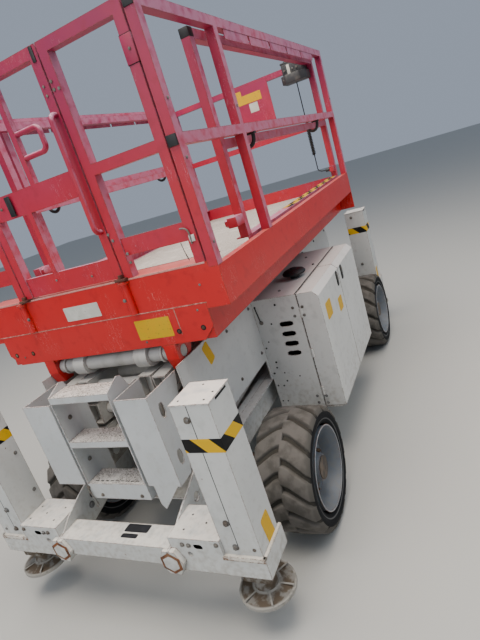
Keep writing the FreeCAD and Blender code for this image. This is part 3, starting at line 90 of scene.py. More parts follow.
def add(tree: Tree, kind: str, inputs: Inputs | None = None, out: int | str = 0,
        **settings: object) -> Socket:
    """Adds a node with its settings and its input links or values.

    Args:
        tree: The node tree.
        kind: The node's type name after "ShaderNode".
        inputs: Inputs by name or number, each given a socket or a plain value.
        out: The wanted output, by name or number.
        settings: Properties of the node.

    Returns:
        The wanted output.
    """
    node = tree.nodes.new("ShaderNode" + kind)
    for name, value in settings.items():
        setattr(node, name, value)
    for name, value in (inputs or {}).items():
        if isinstance(value, bpy.types.NodeSocket):
            tree.links.new(value, node.inputs[name])
        else:
            node.inputs[name].default_value = value
    return node.outputs[out]


def blotches(tree: Tree, at: Socket, size_mm: float, detail: float, low: float, high: float) -> Socket:
    """Soft-edged blotches cut from a noise, whose Scale is in cells per metre here and below.

    Args:
        tree: The node tree.
        at: Coordinates in metres.
        size_mm: About how wide the blotches are.
        detail: How ragged they are.
        low: Noise value that gives 0.
        high: Noise value that gives 1.

    Returns:
        1 inside the blotches, 0 outside.
    """
    cloud = add(tree, "TexNoise", {"Vector": at, "Scale": 1000 / size_mm, "Detail": detail})
    return add(tree, "MapRange", {0: cloud, 1: low, 2: high}, **SOFT)


def lay(tree: Tree, under: Socket | str, over: str, share: Socket, weight: float = 1.0) -> Socket:
    """Lays a colour over another one.

    Args:
        tree: The node tree.
        under: The lower colour, or its hex code.
        over: The upper colour's hex code.
        share: Where the upper colour lies.
        weight: How thickly it lies there.

    Returns:
        The mixed colour.
    """
    amount = add(tree, "Math", {0: share, 1: weight}, operation="MULTIPLY")
    base = linear(under) if isinstance(under, str) else under
    return add(tree, "Mix", {0: amount, 6: base, 7: linear(over)}, 2, data_type="RGBA")


def facing(tree: Tree, towards: Point, low: float, high: float) -> Socket:
    """1 where the surface looks towards a direction, 0 where it looks away.

    Args:
        tree: The material's node tree.
        towards: The direction.
        low: How far towards it a face looks that gives 0, as a cosine.
        high: The cosine that gives 1.

    Returns:
        The share.
    """
    normal = add(tree, "NewGeometry", out="Normal")
    share = add(tree, "VectorMath", {0: normal, 1: towards}, "Value", operation="DOT_PRODUCT")
    return add(tree, "MapRange", {0: share, 1: low, 2: high}, **SOFT)


def worn_edges(tree: Tree, radius_m: float) -> Socket:
    """1 along sharp outer and inner edges, 0 on flat places.

    Args:
        tree: The material's node tree.
        radius_m: How wide the worn band is.

    Returns:
        The share.
    """
    rounded = add(tree, "Bevel", {"Radius": radius_m}, samples=4)
    straight = add(tree, "NewGeometry", out="Normal")
    alike = add(tree, "VectorMath", {0: rounded, 1: straight}, "Value", operation="DOT_PRODUCT")
    return add(tree, "MapRange", {0: alike, 1: 0.995, 2: 0.80}, **SOFT)


def from_axis(tree: Tree, at: Socket, middle: Point, keep: Point) -> Socket:
    """Distance from an axis that the machine has at both ends, or at all four corners.

    Args:
        tree: The node tree.
        at: Object coordinates.
        middle: A point of the axis on the machine's positive side.
        keep: 1 for each coordinate that counts, 0 along the axis.

    Returns:
        The distance in metres.
    """
    mirrored = add(tree, "VectorMath", {0: at}, operation="ABSOLUTE")
    offset = add(tree, "VectorMath", {0: mirrored, 1: middle}, operation="SUBTRACT")
    flat = add(tree, "VectorMath", {0: offset, 1: keep}, operation="MULTIPLY")
    return add(tree, "VectorMath", {0: flat}, "Value", operation="LENGTH")


@dataclass(frozen=True)
class Finish:
    """A surface with one node-based material, made once and shared by its pieces."""

    name: str
    made: ClassVar[dict[str, bpy.types.Material]] = {}

    def material(self) -> bpy.types.Material:
        """Gives the finish's material, made at its first use.

        Returns:
            The material.
        """
        if self.name not in Finish.made:
            material = bpy.data.materials.new(self.name)
            material.use_nodes = True
            tree = material.node_tree
            tree.nodes.clear()
            shader = add(tree, "BsdfPrincipled", self.dress(tree, add(tree, "TexCoord", out="Object")))
            tree.links.new(shader, tree.nodes.new("ShaderNodeOutputMaterial").inputs["Surface"])
            Finish.made[self.name] = material
        return Finish.made[self.name]

    def dress(self, tree: Tree, at: Socket) -> Inputs:
        """Adds the finish's own nodes.

        Args:
            tree: The material's node tree.
            at: Object coordinates in metres.

        Returns:
            The shader's inputs, each with its socket or plain value.
        """
        raise NotImplementedError


@dataclass(frozen=True)
class WeatheredPaint(Finish):
    """Enamel sprayed on steel: faded in blotches, scratched pale, chipped to rust at the edges."""

    colour: str = "#C2C4C2"
    faded: str = "#D2D3D0"
    deep: str = "#A9ABA8"
    scratch: str = "#E4E2DD"
    rust: str = "#6A3D22"
    dirt: str = "#86795F"
    fading: float = 0.5
    scratches: float = 0.25
    chips: float = 0.55
    grime: float = 0.18
    mud: float = 0.40
    dirt_low_m: float = 0.15
    dirt_high_m: float = 0.75
    roughness: float = 0.48
    # Painted highlight: its strength, the cosine where it begins, and the paler colour laid on faces turned
    # up and to the right
    highlight_share: float = 0.0
    highlight_from: float = 0.25
    bleach_and_highlight: str = "#DAD9D4"
    coat: float = 0.08
    # Painted sky reflection: its colour, laid on more strongly from the lower height to the upper one
    upper: str = ""
    sky_reflection_from_m: float = 1.75
    sky_reflection_to_m: float = 2.55
    # Direction of the painted highlight: up and to the right
    highlight_towards: ClassVar[Point] = (0.0, -0.5, 0.87)

    def dress(self, tree: Tree, at: Socket) -> Inputs:
        """Layers fading, scratches, grime and rust over the paint."""
        height = add(tree, "SeparateXYZ", {0: at}, "Z")
        colour = self.faded_and_lit_colour(tree, at, height)
        colour = lay(tree, colour, self.scratch, self.threads(tree, at), self.scratches)
        dirty = self.dirtied(tree, at, height)
        colour = lay(tree, colour, self.dirt, dirty)
        bare = self.chipped(tree, at)
        colour = lay(tree, colour, self.rust, bare)
        dull = add(tree, "Math", {0: bare, 1: dirty}, operation="MAXIMUM")
        rough = add(tree, "Math", {0: dull, 1: 0.35, 2: self.roughness}, operation="MULTIPLY_ADD")
        # Orange peel is drawn at 5 mm, about twice its real size, so that it shows
        orange_peel = add(tree, "TexNoise", {"Vector": at, "Scale": 1000 / 5, "Detail": 2.0})
        skin = add(tree, "Math", {0: orange_peel, 1: 0.25}, operation="MULTIPLY")
        surface = add(tree, "Math", {0: skin, 1: bare}, operation="SUBTRACT")
        return {"Base Color": colour, "Roughness": rough, "Coat Weight": self.coat, "Coat Roughness": 0.35,
                "Normal": add(tree, "Bump", {"Height": surface, "Distance": 0.0005, "Strength": 0.6})}

    def faded_and_lit_colour(self, tree: Tree, at: Socket, height: Socket) -> Socket:
        """The paint itself, with its blotches, a painted sky reflection higher up and a painted highlight on
        faces turned up and to the right.

        Args:
            tree: The material's node tree.
            at: Object coordinates in metres.
            height: Height above the ground.

        Returns:
            The colour.
        """
        colour = self.colour
        # Painted sky reflection, stronger higher up
        if self.upper:
            raised = add(tree, "MapRange", {0: height, 1: self.sky_reflection_from_m, 2: self.sky_reflection_to_m}, **SOFT)
            colour = lay(tree, colour, self.upper, raised)
        colour = lay(tree, colour, self.faded, blotches(tree, at, 420, 4.0, 0.42, 0.66), self.fading)
        colour = lay(tree, colour, self.deep, blotches(tree, at, 55, 5.0, 0.52, 0.72), 0.35)
        # Painted highlight: paler on faces turned up and to the right, in uneven blotches
        if self.highlight_share:
            lit_faces = facing(tree, self.highlight_towards, self.highlight_from, self.highlight_from + 0.45)
            uneven = blotches(tree, at, 55, 5.0, 0.2, 0.6)
            share = add(tree, "Math", {0: lit_faces, 1: uneven}, operation="MULTIPLY")
            colour = lay(tree, colour, self.bleach_and_highlight, share, self.highlight_share)
        return colour

    def threads(self, tree: Tree, at: Socket) -> Socket:
        """Scratches: thin threads where a stretched noise crosses its middle value.

        Args:
            tree: The material's node tree.
            at: Object coordinates in metres.

        Returns:
            1 on a scratch, 0 elsewhere.
        """
        tall = add(tree, "Mapping", {"Vector": at, "Scale": (2.2, 2.2, 0.35)})
        cloud = add(tree, "TexNoise", {"Vector": tall, "Scale": 1000 / 30, "Detail": 2.0})
        off = add(tree, "Math", {0: cloud, 1: 0.5}, operation="SUBTRACT")
        away = add(tree, "Math", {0: off}, operation="ABSOLUTE")
        thin = add(tree, "MapRange", {0: away, 1: 0.006, 2: 0.001}, **SOFT)
        patches = blotches(tree, at, 230, 2.0, 0.52, 0.62)
        return add(tree, "Math", {0: thin, 1: patches}, operation="MULTIPLY")

    def dirtied(self, tree: Tree, at: Socket, height: Socket) -> Socket:
        """Grime that runs down upright faces, and mud that gathers low on the machine.

        Args:
            tree: The material's node tree.
            at: Object coordinates in metres.
            height: Height above the ground.

        Returns:
            How dirty the place is.
        """
        tall = add(tree, "Mapping", {"Vector": at, "Scale": (1.0, 1.0, 0.14)})
        runs = blotches(tree, tall, 75, 3.0, 0.52, 0.80)
        patches = blotches(tree, at, 310, 2.0, 0.42, 0.62)
        streaks = add(tree, "Math", {0: runs, 1: patches}, operation="MULTIPLY")
        low = add(tree, "MapRange", {0: height, 1: self.dirt_high_m, 2: self.dirt_low_m}, **SOFT)
        splashed = add(tree, "TexNoise", {"Vector": at, "Scale": 1000 / 26, "Detail": 7.0})
        reach = add(tree, "Math", {0: low, 1: 0.32, 2: splashed}, operation="MULTIPLY_ADD")
        mud = add(tree, "MapRange", {0: reach, 1: 0.55, 2: 1.0}, **SOFT)
        thick = add(tree, "Math", {0: mud, 1: self.mud}, operation="MULTIPLY")
        greasy = add(tree, "Math", {0: streaks, 1: self.grime}, operation="MULTIPLY")
        return add(tree, "Math", {0: greasy, 1: thick}, operation="MAXIMUM")

    def chipped(self, tree: Tree, at: Socket) -> Socket:
        """Paint that broke off, along the edges first, in flakes of a few millimetres.

        Args:
            tree: The material's node tree.
            at: Object coordinates in metres.

        Returns:
            1 where the steel is bare.
        """
        flakes = add(tree, "TexNoise", {"Vector": at, "Scale": 1000 / 16, "Detail": 5.0})
        edge = add(tree, "Math", {0: worn_edges(tree, 0.007), 1: 0.42, 2: flakes}, operation="MULTIPLY_ADD")
        edges = add(tree, "MapRange", {0: edge, 1: 0.86 - 0.14 * self.chips, 2: 0.93}, **SOFT)
        spots = blotches(tree, at, 24, 6.0, 0.76 - 0.05 * self.chips, 0.79)
        loose = add(tree, "Math", {0: spots, 1: self.chips}, operation="MULTIPLY")
        return add(tree, "Math", {0: edges, 1: loose}, operation="MAXIMUM")


@dataclass(frozen=True)
class DustyRubber(Finish):
    """Vulcanised tyre rubber: black inside, its lugs grey-brown with dried mud."""

    rubber: str = "#0D0F13"
    dust: str = "#595651"
    mud: str = "#6F6B67"
    ring: str = "#7C7C7C"
    dusting: float = 0.88
    axle: Point = (1.123, 0.0, 0.33)
    clean_m: float = 0.285
    tread_m: float = 0.304
    ring_m: float = 0.252

    def dress(self, tree: Tree, at: Socket) -> Inputs:
        """Dusts the rubber by its distance from the axle, so that both ends share one material."""
        radius = from_axis(tree, at, self.axle, (1.0, 0.0, 1.0))
        cloudy = add(tree, "TexNoise", {"Vector": at, "Scale": 1000 / 60, "Detail": 5.0})
        uneven = add(tree, "Math", {0: cloudy, 1: 0.03, 2: radius}, operation="MULTIPLY_ADD")
        dusty = add(tree, "MapRange", {0: uneven, 1: self.clean_m + 0.012, 2: self.clean_m + 0.040}, **SOFT)
        off = add(tree, "Math", {0: radius, 1: self.ring_m}, operation="SUBTRACT")
        away = add(tree, "Math", {0: off}, operation="ABSOLUTE")
        ringed = add(tree, "MapRange", {0: away, 1: 0.0045, 2: 0.0015}, **SOFT)
        colour = lay(tree, self.rubber, self.ring, ringed, 0.45)
        colour = lay(tree, colour, self.dust, dusty, self.dusting)
        tread = add(tree, "MapRange", {0: radius, 1: self.tread_m, 2: 0.328}, **SOFT)
        patches = add(tree, "MapRange", {0: cloudy, 1: 0.35, 2: 0.6}, **SOFT)
        caked = add(tree, "Math", {0: tread, 1: patches}, operation="MULTIPLY")
        grain = add(tree, "TexNoise", {"Vector": at, "Scale": 1000 / 4, "Detail": 3.0})
        surface = add(tree, "Math", {0: cloudy, 1: 0.8, 2: grain}, operation="MULTIPLY_ADD")
        return {"Base Color": lay(tree, colour, self.mud, caked, 0.7), "Roughness": 0.9,
                "Specular IOR Level": 0.25,
                "Normal": add(tree, "Bump", {"Height": surface, "Distance": 0.0012, "Strength": 0.7})}


@dataclass(frozen=True)
class RustyIron(Finish):
    """Hot-rolled or cast steel left bare: brown rust under dried dust."""

    colour: str = "#4B4138"
    rust: str = "#6E4A30"
    dust: str = "#8B7F6B"
    metallic: float = 0.35

    def dress(self, tree: Tree, at: Socket) -> Inputs:
        """Mottles rust and dust over dark steel."""
        mottled = add(tree, "TexNoise", {"Vector": at, "Scale": 1000 / 38, "Detail": 6.0})
        rusty = add(tree, "MapRange", {0: mottled, 1: 0.42, 2: 0.60}, **SOFT)
        colour = lay(tree, self.colour, self.rust, rusty)
        colour = lay(tree, colour, self.dust, blotches(tree, at, 90, 5.0, 0.46, 0.66), 0.65)
        return {"Base Color": colour, "Metallic": self.metallic, "Roughness": 0.78,
                "Normal": add(tree, "Bump", {"Height": mottled, "Distance": 0.001, "Strength": 0.6})}


@dataclass(frozen=True)
class FootSteel(Finish):
    """Leg and foot: grey steel, the foot's dish brown with earth, the tops of its ribs and its rim painted
    paler.
    """

    colour: str = "#7D7A74"
    earth: str = "#54483A"
    paler_tone: str = "#99968F"
    leg: Point = (1.7395, 0.6965, 0.0)
    dish_m: float = 0.121
    rib_z: float = 0.1995
    rib_top_z: float = 0.2035
    shank_z: float = 0.285

    def dress(self, tree: Tree, at: Socket) -> Inputs:
        """Tells the dish, the ribs and the rim apart by the distance from the leg and the height."""
        height = add(tree, "SeparateXYZ", {0: at}, "Z")
        radius = from_axis(tree, at, self.leg, (1.0, 1.0, 0.0))
        cloudy = add(tree, "TexNoise", {"Vector": at, "Scale": 1000 / 34, "Detail": 5.0})
        patches = add(tree, "MapRange", {0: cloudy, 1: 0.36, 2: 0.56}, **SOFT)
        inside = add(tree, "MapRange", {0: radius, 1: self.dish_m + 0.006, 2: self.dish_m - 0.004}, **SOFT)
        low = add(tree, "MapRange", {0: height, 1: self.shank_z + 0.05, 2: self.shank_z}, **SOFT)
        splashed = add(tree, "Math", {0: low, 1: 0.8, 2: 0.2}, operation="MULTIPLY_ADD")
        earthy = add(tree, "Math", {0: patches, 1: inside}, operation="MULTIPLY")
        share = add(tree, "Math", {0: earthy, 1: splashed}, operation="MULTIPLY")
        colour = lay(tree, self.colour, self.earth, share)
        # Tops of the ribs and the outer rim painted paler
        above = add(tree, "MapRange", {0: height, 1: self.rib_z, 2: self.rib_z + 0.0015}, **SOFT)
        below = add(tree, "MapRange", {0: height, 1: self.rib_top_z + 0.001, 2: self.rib_top_z}, **SOFT)
        on_rib = add(tree, "Math", {0: above, 1: below}, operation="MULTIPLY")
        on_rim = add(tree, "MapRange", {0: radius, 1: self.dish_m, 2: self.dish_m + 0.006}, **SOFT)
        either = add(tree, "Math", {0: on_rib, 1: on_rim}, operation="MAXIMUM")
        uneven = add(tree, "MapRange", {0: cloudy, 1: 0.30, 2: 0.48}, **SOFT)
        pale = add(tree, "Math", {0: either, 1: uneven}, operation="MULTIPLY")
        return {"Base Color": lay(tree, colour, self.paler_tone, pale), "Metallic": 0.1, "Roughness": 0.75,
                "Normal": add(tree, "Bump", {"Height": cloudy, "Distance": 0.0008, "Strength": 0.5})}


@dataclass(frozen=True)
class PolishedRod(Finish):
    """Hard-chromed steel with a film of oil and dust."""

    colour: str = "#C9CBCD"

    def dress(self, tree: Tree, at: Socket) -> Inputs:
        """Breaks the mirror with a faint film."""
        film = blotches(tree, at, 60, 4.0, 0.3, 0.8)
        return {"Base Color": linear(self.colour), "Metallic": 1.0,
                "Roughness": add(tree, "Math", {0: film, 1: 0.25, 2: 0.12}, operation="MULTIPLY_ADD")}


@dataclass(frozen=True)
class TreadPlate(Finish):
    """Rolled aluminium chequer plate: raised lozenges, polished by boots and dusty between."""

    colour: str = "#ACA7A1"
    worn: str = "#BBB6B0"
    dust: str = "#A39C93"
    pitch_mm: float = 34.0

    def dress(self, tree: Tree, at: Socket) -> Inputs:
        """Lays two crossed rows of lozenges, drawn coarser than real so that they show."""
        turn = FULL_TURN * 1000 / (2 * self.pitch_mm)
        rows = []
        for lean in ((turn, turn, 0.0), (turn, -turn, 0.0)):
            along = add(tree, "VectorMath", {0: at, 1: lean}, "Value", operation="DOT_PRODUCT")
            rows.append(add(tree, "Math", {0: along}, operation="SINE"))
        waves = add(tree, "Math", dict(enumerate(rows)), operation="MULTIPLY")
        crests = add(tree, "Math", {0: waves}, operation="ABSOLUTE")
        raised = add(tree, "MapRange", {0: crests, 1: 0.55, 2: 0.75}, **SOFT)
        colour = lay(tree, self.colour, self.worn, raised)
        colour = lay(tree, colour, self.dust, blotches(tree, at, 260, 4.0, 0.4, 0.65), 0.6)
        return {"Base Color": colour, "Metallic": 0.25, "Roughness": 0.6,
                "Normal": add(tree, "Bump", {"Height": raised, "Distance": 0.0008, "Strength": 0.6})}


@dataclass(frozen=True)
class GritCoat(Finish):
    """Anti-slip paint with sand in it: black and white specks."""

    colour: str = "#BDB9B4"
    dark: str = "#6B655C"
    pale: str = "#DAD6D1"
    grain_mm: float = 4.0

    def dress(self, tree: Tree, at: Socket) -> Inputs:
        """Sprinkles specks that are drawn twice their real size, to show at the photograph's distance."""
        grains = {"Vector": at, "Scale": 1000 / self.grain_mm}
        speck = add(tree, "SeparateColor", {0: add(tree, "TexVoronoi", grains, "Color")})
        dark = add(tree, "MapRange", {0: speck, 1: 0.74, 2: 0.80}, **SOFT)
        pale = add(tree, "MapRange", {0: speck, 1: 0.26, 2: 0.18}, **SOFT)
        colour = lay(tree, lay(tree, self.colour, self.dark, dark), self.pale, pale)
        colour = lay(tree, colour, self.pale, blotches(tree, at, 130, 4.0, 0.52, 0.70), 0.8)
        crests = add(tree, "TexVoronoi", grains, "Distance")
        return {"Base Color": colour, "Roughness": 0.85,
                "Normal": add(tree, "Bump", {"Height": crests, "Distance": 0.001, "Strength": 0.8})}


@dataclass(frozen=True)
class MouldedPlastic(Finish):
    """Injection-moulded ABS or rubber with a fine grain and a little dust."""

    colour: str = "#35373A"
    dust: str = "#6B675F"
    roughness: float = 0.5

    def dress(self, tree: Tree, at: Socket) -> Inputs:
        """Adds moulded grain and a dusty bloom."""
        bloom = blotches(tree, at, 70, 4.0, 0.48, 0.74)
        # The mould's grain is drawn at 2 mm, several times its real size, so that it shows
        grain = add(tree, "TexNoise", {"Vector": at, "Scale": 1000 / 2, "Detail": 2.0})
        return {"Base Color": lay(tree, self.colour, self.dust, bloom, 0.5), "Roughness": self.roughness,
                "Normal": add(tree, "Bump", {"Height": grain, "Distance": 0.0003, "Strength": 0.4})}


@dataclass(frozen=True)
class PrintedFilm(Finish):
    """Vinyl film stuck on paint: sun-bleached, scuffed and soiled in spots."""

    colour: str = "#D9B21C"
    bleach_and_highlight: str = "#E4CB68"
    dirt: str = "#6B6148"

    def dress(self, tree: Tree, at: Socket) -> Inputs:
        """Bleaches and soils the film."""
        colour = lay(tree, self.colour, self.bleach_and_highlight, blotches(tree, at, 45, 3.0, 0.45, 0.65))
        scuffs = blotches(tree, at, 12, 6.0, 0.60, 0.74)
        return {"Base Color": lay(tree, colour, self.dirt, scuffs, 0.7), "Roughness": 0.5,
                "Specular IOR Level": 0.3,
                "Normal": add(tree, "Bump", {"Height": scuffs, "Distance": 0.0002, "Strength": 0.4})}


@dataclass(frozen=True)
class HazardTape(Finish):
    """Warning tape in slanted yellow and black bands, scuffed."""

    yellow: str = "#DCAE00"
    black: str = "#08090D"
    dirt: str = "#6F6A5E"
    pitch_mm: float = 150.0
    lean: Point = (1.0, 1.0, 1.0)

    def dress(self, tree: Tree, at: Socket) -> Inputs:
        """Cuts the slanted bands from a sum of the coordinates."""
        measure = add(tree, "VectorMath", {0: at, 1: self.lean}, "Value", operation="DOT_PRODUCT")
        bands = add(tree, "Math", {0: measure, 1: 1000 / self.pitch_mm}, operation="MULTIPLY")
        share = add(tree, "Math", {0: bands}, operation="FRACT")
        band = add(tree, "Math", {0: share, 1: 0.5}, operation="GREATER_THAN")
        scuffs = blotches(tree, at, 14, 6.0, 0.64, 0.74)
        colour = lay(tree, lay(tree, self.yellow, self.black, band), self.dirt, scuffs, 0.45)
        return {"Base Color": colour, "Roughness": 0.6, "Specular IOR Level": 0.25,
                "Normal": add(tree, "Bump", {"Height": scuffs, "Distance": 0.0002, "Strength": 0.4})}


class Paints:
    """The machine's finishes, each with what it gives the eye."""

    # Grey-white enamel of the frame: a milky painted highlight on faces turned up and to the right, brown at
    # its edges
    chassis = WeatheredPaint("chassis_enamel", highlight_share=0.6, highlight_from=0.45, bleach_and_highlight="#E2DED8")
    # The outriggers' coat: the same grey, with a stronger painted highlight and more chips than the rest
    column = WeatheredPaint("outrigger_enamel", chips=0.9, grime=0.22, highlight_share=0.7, highlight_from=0.45,
                            bleach_and_highlight="#F0EAE1")
    # Covers by the steps: a colder grey, with more flaked edges and a painted highlight on faces turned up
    # and to the right
    cover = WeatheredPaint("cover_enamel", colour="#B9BDBE", faded="#C9CCCD", chips=0.6, highlight_share=0.5,
                           highlight_from=0.45, bleach_and_highlight="#E2DED8")
    # Side boxes and doors: the palest and cleanest grey, with a painted highlight on faces turned up and to
    # the right
    box = WeatheredPaint("side_box_enamel", colour="#CCCDCA", faded="#D9D9D6", chips=0.35, grime=0.14,
                         highlight_share=0.4, highlight_from=0.45, bleach_and_highlight="#D9D1CE")
    # Scissor arms: dull grey with greasy runs
    arm = WeatheredPaint("arm_enamel", colour="#AEACA7", faded="#BFBDB9", dirt="#5E5748", grime=0.45,
                         mud=0.5, dirt_low_m=0.5, dirt_high_m=1.1)
    # The platform's skirt: signal red, its scratches pink, glossier than the greys, with a pink painted
    # highlight on faces turned up and to the right
    red = WeatheredPaint("platform_enamel", colour="#C60F10", faded="#C82422", deep="#980D0C",
                         scratch="#DFA59C", highlight_share=0.55, highlight_from=0.48, bleach_and_highlight="#D98078", dirt="#6E3A30",
                         scratches=0.8, chips=0.5, grime=0.12, mud=0.2, dirt_low_m=1.0, dirt_high_m=1.3,
                         roughness=0.36)
    # Rails: crimson, with a painted sky reflection that turns it violet higher up and a pale painted
    # highlight on faces turned up and to the right
    rail = WeatheredPaint("rail_enamel", colour="#BA1226", faded="#B02444", deep="#8C0C24",
                          scratch="#CF9AAA", upper="#900E46", highlight_share=0.85, bleach_and_highlight="#C692AE", coat=0.20,
                          dirt="#5E2A34", fading=0.6, scratches=0.6, chips=0.45, grime=0.10, mud=0.2,
                          dirt_low_m=1.0, dirt_high_m=1.3, roughness=0.5)
    # Rims: blue-grey with brown dust low down
    rim = WeatheredPaint("rim_enamel", colour="#626B76", faded="#727B86", deep="#4F5762", chips=0.6,
                         grime=0.2, mud=0.25, dirt_low_m=0.2, dirt_high_m=0.7)
    # Tyre walls: near black, with one thin grey ring; between the lugs their dust is darker than the lugs',
    # dust with painted shade in the grooves
    rubber = DustyRubber("tyre_rubber", dust="#45423C", mud="#4E4B45", dusting=0.8)
    # Lugs: grey-brown with dried mud on their crests
    lug = DustyRubber("tyre_lugs", clean_m=0.270, tread_m=0.312)
    # Axles and nuts: dark brown iron under dust
    iron = RustyIron("rusty_iron")
    # The roll-out deck's floor: a warm grey with fine grit
    floor = GritCoat("deck_floor_coat", colour="#B0A9A2", dark="#948B82", pale="#C3BDB6", grain_mm=3.0)
    # The rim's edge, rubbed to bright steel
    bead = RustyIron("rim_bead", colour="#9EA3A9", rust="#87898B", dust="#A9ABAA", metallic=0.2)
    # Engine, tank and their covers: nearly black with oil and soot
    greasy = RustyIron("greasy_cast_iron", colour="#1C1E20", rust="#2A2724", dust="#45423C", metallic=0.2)
    # Outrigger legs: mid grey, with earth in the feet
    leg = FootSteel("leg_steel")
    # The lift cylinder's rod: a mirror dimmed by oil
    chrome = PolishedRod("chromed_rod")
    # The platform's floor: pale lozenges on grey aluminium
    deck = TreadPlate("chequer_plate")
    # Treads of the steps: sandpaper grey with dark and white specks
    grit = GritCoat("anti_slip_coat")
    # Console and caps: dark grey plastic with a dusty bloom
    plastic = MouldedPlastic("grey_abs")
    # Hooks, plugs and seals: black plastic and rubber
    black = MouldedPlastic("black_plastic", colour="#17181A", dust="#4A4843")
    # The cord's sheath: matt black
    cord = MouldedPlastic("cord_rubber", colour="#141414", dust="#3A3834", roughness=0.6)
    # Blank plates where labels would be: strong yellow, a little bleached
    yellow = PrintedFilm("yellow_film", colour="#D4A400", bleach_and_highlight="#CFA60A")
    # Blank plates in dull white
    white = PrintedFilm("white_film", colour="#C4C4BB", bleach_and_highlight="#CFCEC6", dirt="#8B8472")
    # Band round each column: yellow and black, slanted
    tape = HazardTape("hazard_tape", pitch_mm=170.0, lean=(1.0, -1.0, 1.0))
    # Bolts and screws: grey zinc going dull
    zinc = RustyIron("zinc_plated_steel", colour="#7E7F7E", rust="#686059", dust="#857F75", metallic=0.5)
    # Hubs and the ring under the nuts: brown-grey
    hub = RustyIron("hub_steel", colour="#4A4541", rust="#5D4F44", dust="#81776A")
    # Hinge irons on the tail: dark red-brown rust
    pin = RustyIron("rusted_hinge_steel", colour="#4E1F1C", rust="#5F3A2C", dust="#6B5146", metallic=0.1)
    # Ends of the beams: orange-brown rust
    rust = RustyIron("rusted_edge", colour="#5A3A26", rust="#7A4A2A", dust="#8C7257", metallic=0.1)
    # Holes, gaps and the black hazard blocks: the black of a place that no light reaches
    gap = MouldedPlastic("dark_gap", colour="#0E0E0F", dust="#1C1B1A", roughness=0.9)
    # Anti-slip patches on the beams: blue-black and matt
    patch = MouldedPlastic("anti_slip_film", colour="#17191F", dust="#33343A", roughness=0.8)
    # Sill behind the tail: red faded to pink by feet and sun
    sill = WeatheredPaint("sill_enamel", colour="#CE5A52", faded="#DB8A83", deep="#B5423C",
                          scratch="#E6CFCB", dirt="#7A4640", fading=0.9, chips=0.0, mud=0.1,
                          dirt_low_m=0.1, dirt_high_m=0.2)
    # Edges of the tail: pink and worn through in places
    lip = WeatheredPaint("worn_lip_enamel", colour="#C98A82", faded="#D8ABA4", deep="#B4483F",
                         scratch="#E6CFCB", dirt="#7A4640", chips=0.9, mud=0.1, dirt_low_m=0.1,
                         dirt_high_m=0.2)
    # Guards over the feet: cream, rusty at the lower edge
    guard = WeatheredPaint("guard_enamel", colour="#D9D3C8", faded="#E2DDD4", chips=0.8, grime=0.15,
                           mud=0.2, rust="#6B4A33")


NODE_FINISHES: tuple[tuple[Finish, tuple[str, ...]], ...] = (
    (Paints.column, ("columns_", "outrigger_beam_")),
    (Paints.chassis, ("frame_", "belly_", "side_walls", "arm_anchors")),
    (Paints.cover, ("ladder",)),
    (Paints.box, ("side_box_", "door_")),
    (Paints.greasy, ("power_",)),
    (Paints.iron, ("axle_", "knuckle_")),
    (Paints.leg, ("leg_",)),
    (Paints.arm, ("arms_", "lift_barrel")),
    (Paints.chrome, ("lift_rod",)),
    (Paints.red, ("platform_",)),
    (Paints.deck, ("platform_deck",)),
    (Paints.rail, ("rail", "gate", "extension_")),
    (Paints.rubber, ("tyre_",)),
    (Paints.rim, ("rim_",)),
    (Paints.plastic, ("console", "cord_plug")),
)


def paint_nodes() -> None:
    """Gives every CAD node its finish through its own material slots; the longest name match wins."""
    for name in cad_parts:
        piece = bpy.data.objects[name]
        matches = [(len(start), finish) for finish, starts in NODE_FINISHES for start in starts
                   if name.startswith(start)]
        finish = max(matches, key=lambda match: match[0])[1] if matches else Paints.cord
        if not piece.material_slots:
            piece.data.materials.append(finish.material())
        for place in piece.material_slots:
            place.material = finish.material()
    log.info("painted %d nodes", len(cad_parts))


